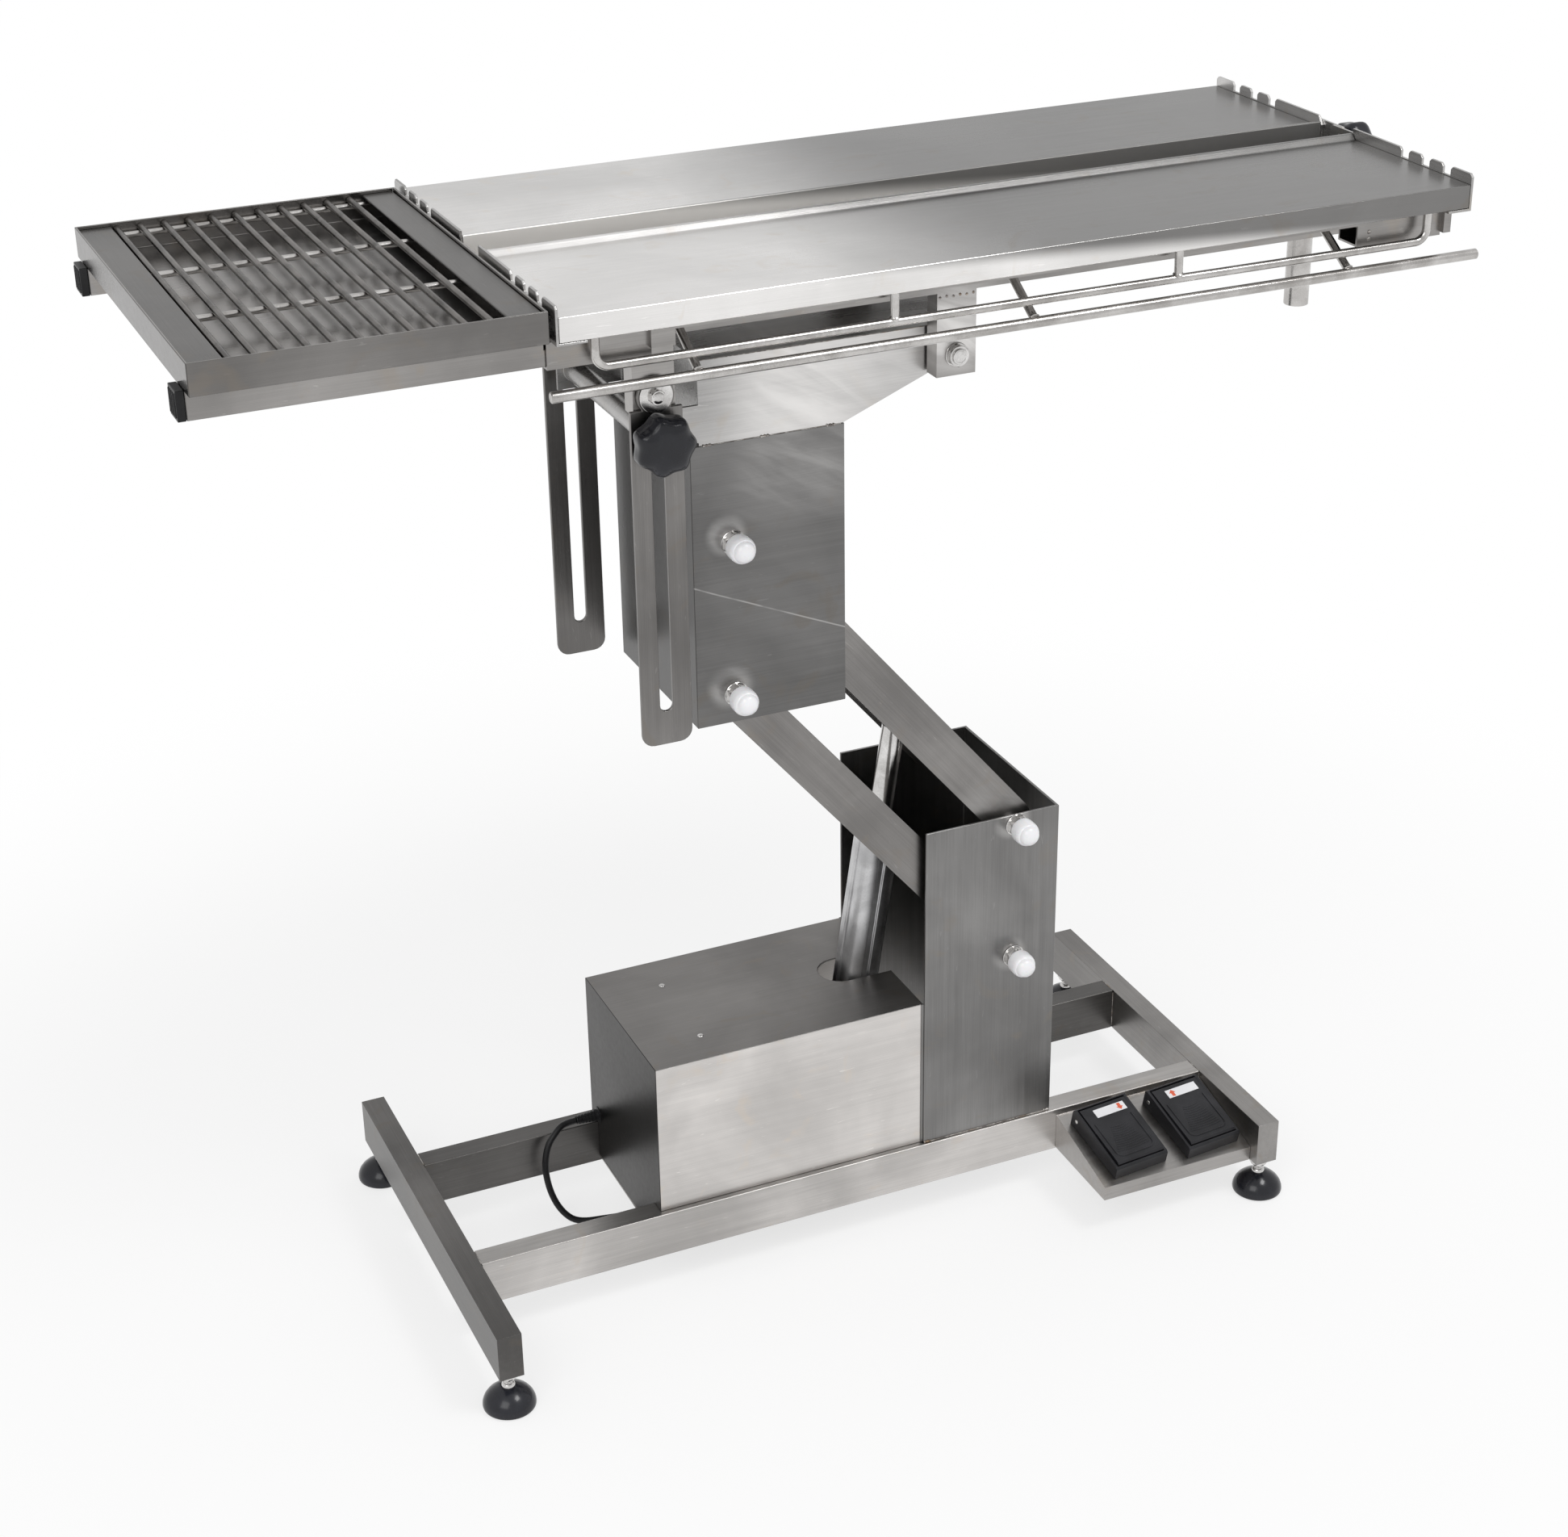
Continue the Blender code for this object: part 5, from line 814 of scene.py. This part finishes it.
def rods():
    """The bent rod rails under the panels, and the long side rails on their struts."""
    x0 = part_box("panel_front")[0].x
    for name, side in SIDES:
        low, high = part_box("rod_rail_" + name)
        y = (low.y + high.y) / 2
        bottom, top = low.z + 4 * MM, high.z
        path = rounded([(low.x + 4 * MM, y, top), (low.x + 4 * MM, y, bottom), (high.x - 4 * MM, y, bottom),
                        (high.x - 4 * MM, y, top)], 12 * MM)
        shapes = [swept(path, 4 * MM, 24)]
        for post in PANEL_POSTS:
            x = x0 + post
            shapes.append(swept([(x, y, bottom), (x, y, (top + bottom) / 2), (x, y, top)], 3.95 * MM, 24))
            shapes.append(turned([(0, 2.6 * MM), (4.4 * MM, 3.4 * MM), (5.2 * MM, 4.2 * MM),
                                  (4.3 * MM, 5.4 * MM), (0, 6 * MM)], (x, y, bottom), (0, 0, 1), 24))
        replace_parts(piece("rod_rail_bar_" + name, shapes, "panel_" + name, ROD, "steel_sheet"),
                    "rod_rail_" + name)

        low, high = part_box("side_rail_" + name)
        y, z = side * 215 * MM, low.z + 5 * MM
        shapes = [swept([(low.x, y, z), (0, y, z), (high.x, y, z)], 5 * MM, 28)]
        rise = high.z - z - 2.6 * MM
        for strut in RAIL_STRUTS:
            a = Vector((x0 + strut, y, z))
            b = Vector((x0 + strut, side * 158 * MM, z + rise))
            shapes.append(swept([a, (a + b) / 2, b], 4 * MM, 22))
            way = (b - a).normalized()
            shapes.append(turned([(0, 3.4 * MM), (4.6 * MM, 4 * MM), (5.3 * MM, 5 * MM), (4.4 * MM, 6.6 * MM),
                                  (0, 7 * MM)], a, way, 24))
        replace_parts(piece("side_rail_bar_" + name, shapes, "top_frame", ROD, "steel_frame"),
                    "side_rail_" + name)


def grille():
    """The loose grille: two plates with rolled hems, long rods below, cross rods on top."""
    low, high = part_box("tray_grille")
    z1 = high.z
    r = 3 * MM
    shapes = []
    reach = high.y
    for start, hem in ((low.x, low.x + 28 * MM), (high.x - 28 * MM, high.x - 28 * MM)):
        shapes.append(block((start, -reach, z1 - 2.5 * MM), (start + 28 * MM, reach, z1)))
        edge = min(max(hem, low.x + 1.25 * MM), high.x - 1.25 * MM)
        shapes.append(swept([(edge, -reach + 0.2 * MM, z1 - 1.25 * MM), (edge, 0, z1 - 1.25 * MM),
                             (edge, reach - 0.2 * MM, z1 - 1.25 * MM)], 1.24 * MM, 16))
    plates = piece("grille_plates", shapes, "tray_grille", STEEL_PLATE, "steel_sheet", bevel=0.5 * MM)
    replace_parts(plates, "tray_grille")
    rod_z, long_z = z1 - r, z1 - 2.7 * r
    bars = []
    for y in (-207, -69, 69, 207):
        bars.append(swept([(low.x + 8 * MM, y * MM, long_z), (0.5 * (low.x + high.x), y * MM, long_z),
                           (high.x - 8 * MM, y * MM, long_z)], r, 22))
        for x in (low.x + 11 * MM, high.x - 11 * MM):
            bars.append(shank((x, y * MM, long_z), UP, 2.2 * MM, 0, 6 * MM, 16))
    piece("grille_long_rods", bars, "tray_grille", ROD, "steel_sheet")
    bars = []
    for k in range(11):
        x = low.x + 34 * MM + k * 21.8 * MM
        bars.append(swept([(x, -reach, rod_z), (x, 0, rod_z), (x, reach, rod_z)], r - 0.02 * MM, 24))
    piece("grille_cross_rods", bars, "tray_grille", ROD_DARK, "steel_sheet")


DRAIN_X = 554.8 * MM
TROUGH_LOW = 1060.6 * MM - 28.5 * MM    # underside of the trough


def drain():
    """The gutter trough without its pipe, and the pipe as a true tube."""
    item = carried("gutter", STEEL_GUTTER, "steel_frame", 0)
    mesh = item.data
    work = bmesh.new()
    work.from_mesh(mesh)
    gone = [v for v in work.verts if v.co.z < TROUGH_LOW - 1 * MM]
    bmesh.ops.delete(work, geom=gone, context="VERTS")
    rims = [e for e in work.edges if e.is_boundary]
    bmesh.ops.bridge_loops(work, edges=rims)
    bmesh.ops.recalc_face_normals(work, faces=work.faces)
    work.to_mesh(mesh)
    work.free()
    edges = item.modifiers.new("edges", "BEVEL")
    edges.width, edges.segments, edges.limit_method = 0.3 * MM, 2, "ANGLE"
    edges.angle_limit = radians(40)
    foot = (DRAIN_X, 0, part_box("gutter")[0].z)
    profile = [(11.2, 0.4), (11.6, 0), (12.1, 0), (12.5, 0.4), (12.5, 113), (13.2, 114),
               (13.6, 115.2), (12.4, 115.6), (11.2, 115.6)]
    piece("drain_pipe", [turned([(r * MM, h * MM) for r, h in profile], foot, sides=48, ring=True)],
          "top_frame", ROD, "steel_frame")


DRIVE_FOOT = (35.8 * MM, 0, 104 * MM)       # the clevis pin
DRIVE_HEAD = (104.7 * MM, 0, 552.7 * MM)    # the upper arm's pin


def actuator():
    """The linear drive: grooved tube, gear box, motor, lug, and the polished rod with its eye."""
    foot, head = Vector(DRIVE_FOOT), Vector(DRIVE_HEAD)
    way = (head - foot).normalized()
    lean = atan2(way.x, way.z)
    place = Matrix.Translation(foot) @ Matrix.Rotation(lean, 4, "Y")
    r, groove, half = 20, 2, 4
    quarter = [(r, -11), (r, -half), (r - groove, -half + 1), (r - groove, half - 1), (r, half), (r, 11),
               (18.2, 15.6), (15.6, 18.2), (11, r)]
    loop = []
    for k in range(4):
        c, s = (1, 0, -1, 0)[k], (0, 1, 0, -1)[k]
        loop += [((c * a - s * b) * MM, (s * a + c * b) * MM) for a, b in quarter[:-1]]
    tube = slab(loop, 16.2 * MM, 320 * MM, place)
    ring = [(12.6, 318), (19.2, 318), (19.7, 319), (19.7, 321.4), (19, 322), (12.6, 322)]
    collar = turned([(a * MM, h * MM) for a, h in ring], tuple(foot), tuple(way), 40, ring=True)
    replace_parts(piece("drive_tube", [tube, collar], "actuator_body", ALUMINIUM, "grey_drive", bevel=0.4 * MM,
                      soft=30), "actuator_body")
    box = block((-68 * MM, -22 * MM, 20 * MM), (18 * MM, 22 * MM, 50 * MM))
    box = (np.array([tuple(place @ Vector(v)) for v in box[0].tolist()]), box[1])
    side = place @ Vector((-45 * MM, 0, 0))
    motor = turned([(r * MM, h * MM) for r, h in
                    ((0, 49), (21.6, 49), (22, 49.6), (22, 58), (21.2, 58.6), (21.2, 60),
                     (22, 60.6), (22, 118), (21, 121), (18, 124.2), (8, 125), (0, 125))],
                   tuple(side), tuple(way), 48)
    lug = turned([(5.4 * MM, -15 * MM), (12.4 * MM, -15 * MM), (13 * MM, -14.2 * MM), (13 * MM, 14.2 * MM),
                  (12.4 * MM, 15 * MM), (5.4 * MM, 15 * MM)], tuple(foot), (0, 1, 0), 40, ring=True)
    piece("drive_gearbox", [box], "actuator_body", MOTOR_GREY, "grey_drive", bevel=2.4 * MM, segments=3)
    piece("drive_motor", [motor, lug], "actuator_body", MOTOR_GREY, "grey_drive")
    length = (head - foot).length
    rod = turned([(0, 172 * MM), (12 * MM, 172 * MM), (12 * MM, length - 17 * MM),
                  (11 * MM, length - 16 * MM), (0, length - 16 * MM)], tuple(foot), tuple(way), 36)
    ring = [(12.2, -7.6), (18.2, -7.6), (18.9, -6.8), (18.9, 6.8), (18.2, 7.6), (12.2, 7.6)]
    eye = turned([(a * MM, h * MM) for a, h in ring], tuple(head), (0, 1, 0), 48, ring=True)
    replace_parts(piece("drive_rod", [rod, eye], "actuator_rod", CHROME, "steel_frame"), "actuator_rod")


PEDAL_W = 65 * MM
PEDAL_PIN = (PEDAL_W / 2, -9 * MM, 10.5 * MM)   # the pin's middle in a switch's own frame
SHELF_SLOPE, PEDAL_TURN, TREAD_TILT = atan2(27, 107), radians(4.5), atan2(3.1, 76)
TREAD_RIBS = 12


def pedals():
    """Foot switches: walled base, treadle with a lip and a fan of ribs, pins and a plain arrow."""
    turn = Matrix.Rotation(SHELF_SLOPE, 4, "X") @ Matrix.Rotation(PEDAL_TURN, 4, "Z")
    for name, point in (("down", -1), ("up", 1)):
        body = "pedal_" + name
        carried("pedal_" + name, PEDAL_BLACK, "black_plastic", 1.2 * MM, segments=4)
        carried("pedal_base_" + name, PEDAL_BLACK, "black_plastic", 0.7 * MM, segments=3)
        pin = Vector(JOINT["pedal_%s_press" % name]["pos_m"])
        base = Matrix.Translation(pin - turn @ Vector(PEDAL_PIN)) @ turn
        top = (base @ Matrix.Translation((PEDAL_W / 2, -6 * MM, 21.8 * MM))
               @ Matrix.Rotation(TREAD_TILT, 4, "X"))
        lip = rounded([(-23, -22, 0), (-23, -71, 0), (23, -71, 0), (23, -22, 0)], 8, 6)
        rows = [swept([top @ (p * MM) for p in lip], 0.9 * MM, 10)]
        for k in range(TREAD_RIBS):
            y = -33 - 2.9 * k
            half = 9 + 0.95 * k
            bow = [(half * t, y + 1.6 * t * t, 0) for t in np.linspace(-1, 1, 9)]
            rows.append(swept([top @ (Vector(p) * MM) for p in bow], 0.5 * MM, 8))
        piece("pedal_tread_" + name, rows, body, PEDAL_BLACK, "black_plastic")
        left, right, rear, toe = -15 * MM, 23 * MM, -4.5 * MM, -15.5 * MM
        label = [(left, rear), (right, rear), (right, toe), (left, toe)]
        piece("pedal_plate_" + name, [slab(label, -0.2 * MM, 0.45 * MM, top)], body, LABEL, "white_caps",
              bevel=0.15 * MM)
        arrow = ((0, 4.5), (4, 0.2), (1.9, 0.2), (1.9, -4.4), (-1.9, -4.4), (-1.9, 0.2), (-4, 0.2))
        at = 4 - 12 * point
        arrow = [((at + point * x) * MM, (-10 + point * y) * MM) for x, y in arrow]
        piece("pedal_arrow_" + name, [slab(arrow, 0.3 * MM, 0.62 * MM, top)], body, ORANGE, "black_plastic",
              bevel=0.08 * MM)
        dots = [dome(tuple(base @ Vector((x, *PEDAL_PIN[1:]))), tuple(turn.to_3x3() @ Vector((side, 0, 0))),
                     2.4 * MM, 1 * MM, 20) for x, side in ((-0.1 * MM, -1), (PEDAL_W + 0.1 * MM, 1))]
        piece("pedal_pins_" + name, dots, "base", CHROME, "bright_hardware")


def rail_caps():
    """Black end caps of the tray's rails, with moulded ribs."""
    for name in ("front", "back"):
        low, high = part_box("tray_rail_cap_" + name)
        shapes = [block(tuple(low + Vector((0.8 * MM, 0, 0))), tuple(high))]
        for k in range(5):
            y = low.y + (3 + 4.6 * k) * MM
            shapes.append(block((low.x, y, low.z + 2.5 * MM),
                                (low.x + 1.4 * MM, y + 1.6 * MM, high.z - 2.5 * MM)))
        cap = piece("rail_cap_" + name, shapes, "tray", RUBBER, "black_plastic", bevel=0.7 * MM, segments=3)
        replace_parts(cap, "tray_rail_cap_" + name)


# Welds

def bead(a, b, radius, seed):
    """A rippled weld bead from a to b: the radius swells at each ripple, slightly unevenly."""
    a, b = np.array(a, float), np.array(b, float)
    run = np.linalg.norm(b - a)
    count = max(6, int(run / (0.55 * radius)))
    t = np.linspace(0, 1, count)[:, None]
    rng = np.random.default_rng(seed)
    swell = 0.82 + 0.22 * np.sin(np.arange(count) * 1.9) + rng.uniform(-0.1, 0.1, count)
    return swept(a + t * (b - a), radius * swell, 10)


# Places of the welds, in mm
UPPER_Y, UPPER_JOIN, HEAD_JOIN = 98, 908.2, 988.6       # column's face, its top, the head's top
UPPER_X, HEAD_X = (-140, -1), (-140, 124)
UPPER_TACKS = (-135, -78, -12)
LOWER_Y, LOWER_X, RAIL_TOP = 103.3, (91, 238), 92.6
LOWER_TACKS = (93, 236)
RAIL_ENDS, RAIL_FACES = (-403.9, 425.5), (82.4, 106.6)
FRAME_DOTS, DOT_PITCH = 6, 6.8
COVER_SCREWS = ((287, 50), (286, -58))      # from the base's left end, Y


def welds():
    """Thin seams along the joints, short beads and dots, and the strips behind the cover's edge."""
    fixed, lifted, topped, strips = [], [], [], []

    def seam(group, a, b, radius, seed):
        group.append(bead([c * MM for c in a], [c * MM for c in b], radius * MM, seed))

    for side in (-1, 1):
        y = side * UPPER_Y
        seam(lifted, (UPPER_X[0], y, UPPER_JOIN), (UPPER_X[1], y, UPPER_JOIN), 0.5, 3 + side)
        for x in UPPER_TACKS:
            seam(lifted, (x - 4, y, UPPER_JOIN), (x + 5, y, UPPER_JOIN), 1.5, 5 + x % 7)
        seam(lifted, (HEAD_X[0], y, HEAD_JOIN), (HEAD_X[1], y, HEAD_JOIN), 0.5, 7 + side)
        y = side * LOWER_Y
        seam(fixed, (LOWER_X[0], y, RAIL_TOP), (LOWER_X[1], y, RAIL_TOP), 0.6, 11 + side)
        for x in LOWER_TACKS:
            seam(fixed, (x - 4, y, 93), (x + 3, y, 93), 1.6, 13 + side)
        for x in RAIL_ENDS:
            for inner in RAIL_FACES:
                seam(fixed, (x, side * inner, 45), (x, side * inner, 89), 0.6, 17 + side)
            seam(fixed, (x, side * 84, 91.7), (x, side * 105, 91.7), 0.6, 23)
        for k in range(FRAME_DOTS):
            spot = ((88 + DOT_PITCH * k) * MM, side * 121 * MM, (1021 + 0.8 * (k % 2)) * MM)
            topped.append(dome(spot, (0, side, 0), 1.4 * MM, 0.7 * MM))
        for z in (1043.5, 1050):
            topped.append(dome((494 * MM, side * 200 * MM, z * MM), (0, side, 0), 2 * MM, 0.8 * MM))
        strips.append(block((86 * MM, side * 99.2 * MM, 93 * MM), (95 * MM, side * 101.2 * MM, COVER_TOP)))
    piece("welds_base", fixed, "base", WELD, "steel_frame", soft=60)
    piece("welds_lift", lifted, "lift_head", WELD, "steel_frame", soft=60)
    piece("welds_top", topped, "top_frame", WELD, "steel_frame", soft=60)
    piece("cover_edge_strips", strips, "base", STEEL_COLUMN, "steel_frame", bevel=0.3 * MM)
    screws = [dome((BASE_X0 + x * MM, y * MM, COVER_TOP), UP, 3.4 * MM, 1.7 * MM, 28)
              for x, y in COVER_SCREWS]
    piece("cover_screws", screws, "base", CHROME, "bright_hardware")


# Sheets

def sheets():
    """Tubes and folded sheet, each with its grain and rounded edges."""
    for slot, rows in (
            ("steel_frame", (("cross_tube_left", STEEL_LEFT_TUBE_SHADED, 1.6), ("cross_tube_right", STEEL_CROSS, 1.6),
                             ("base_rail_front", STEEL_FRONT_RAIL_LIT, 1.6), ("base_rail_back", STEEL_BACK_RAIL_SHADED, 1.6),
                             ("lower_column", STEEL_COLUMN, 0.9), ("drive_cover", STEEL_COVER, 0.9),
                             ("drive_floor", STEEL_LONG, 0.5))),
            ("grey_drive", (("control_box", MOTOR_GREY, 2.5),)),
            ("steel_frame", (("actuator_clevis", STEEL_LONG, 0.7), ("pedal_shelf", STEEL_LONG, 0.6),
                             ("lower_arm", STEEL_ARM, 0.8), ("upper_arm", STEEL_ARM, 0.8),
                             ("upper_column", STEEL_UPPER, 0.9), ("tilt_head", STEEL_HEAD, 0.8),
                             ("stay_front", STEEL_UP, 0.6), ("stay_back", STEEL_UP, 0.6),
                             ("frame_front", STEEL_FRAME, 0.5), ("frame_back", STEEL_FRAME, 0.5))),
            ("steel_sheet", (("panel_front", TOP_FRONT, 0.8), ("panel_back", TOP_BACK, 0.8),
                             ("end_plate_left_front", STEEL_EDGE, 0.7),
                             ("end_plate_left_back", STEEL_EDGE, 0.7),
                             ("end_plate_right_front", STEEL_EDGE, 0.6),
                             ("end_plate_right_back", STEEL_EDGE, 0.6),
                             ("tray_pan", STEEL_TRAY, 0.6)))):
        for node, material, bevel in rows:
            carried(node, material, slot, bevel * MM)


camera()
room()
floor()
power_cord()
sheets()
feet()
pivots()
tilt_bolts()
knobs()
rods()
grille()
drain()
actuator()
pedals()
rail_caps()
welds()

SCENE.view_settings.view_transform = "Standard"
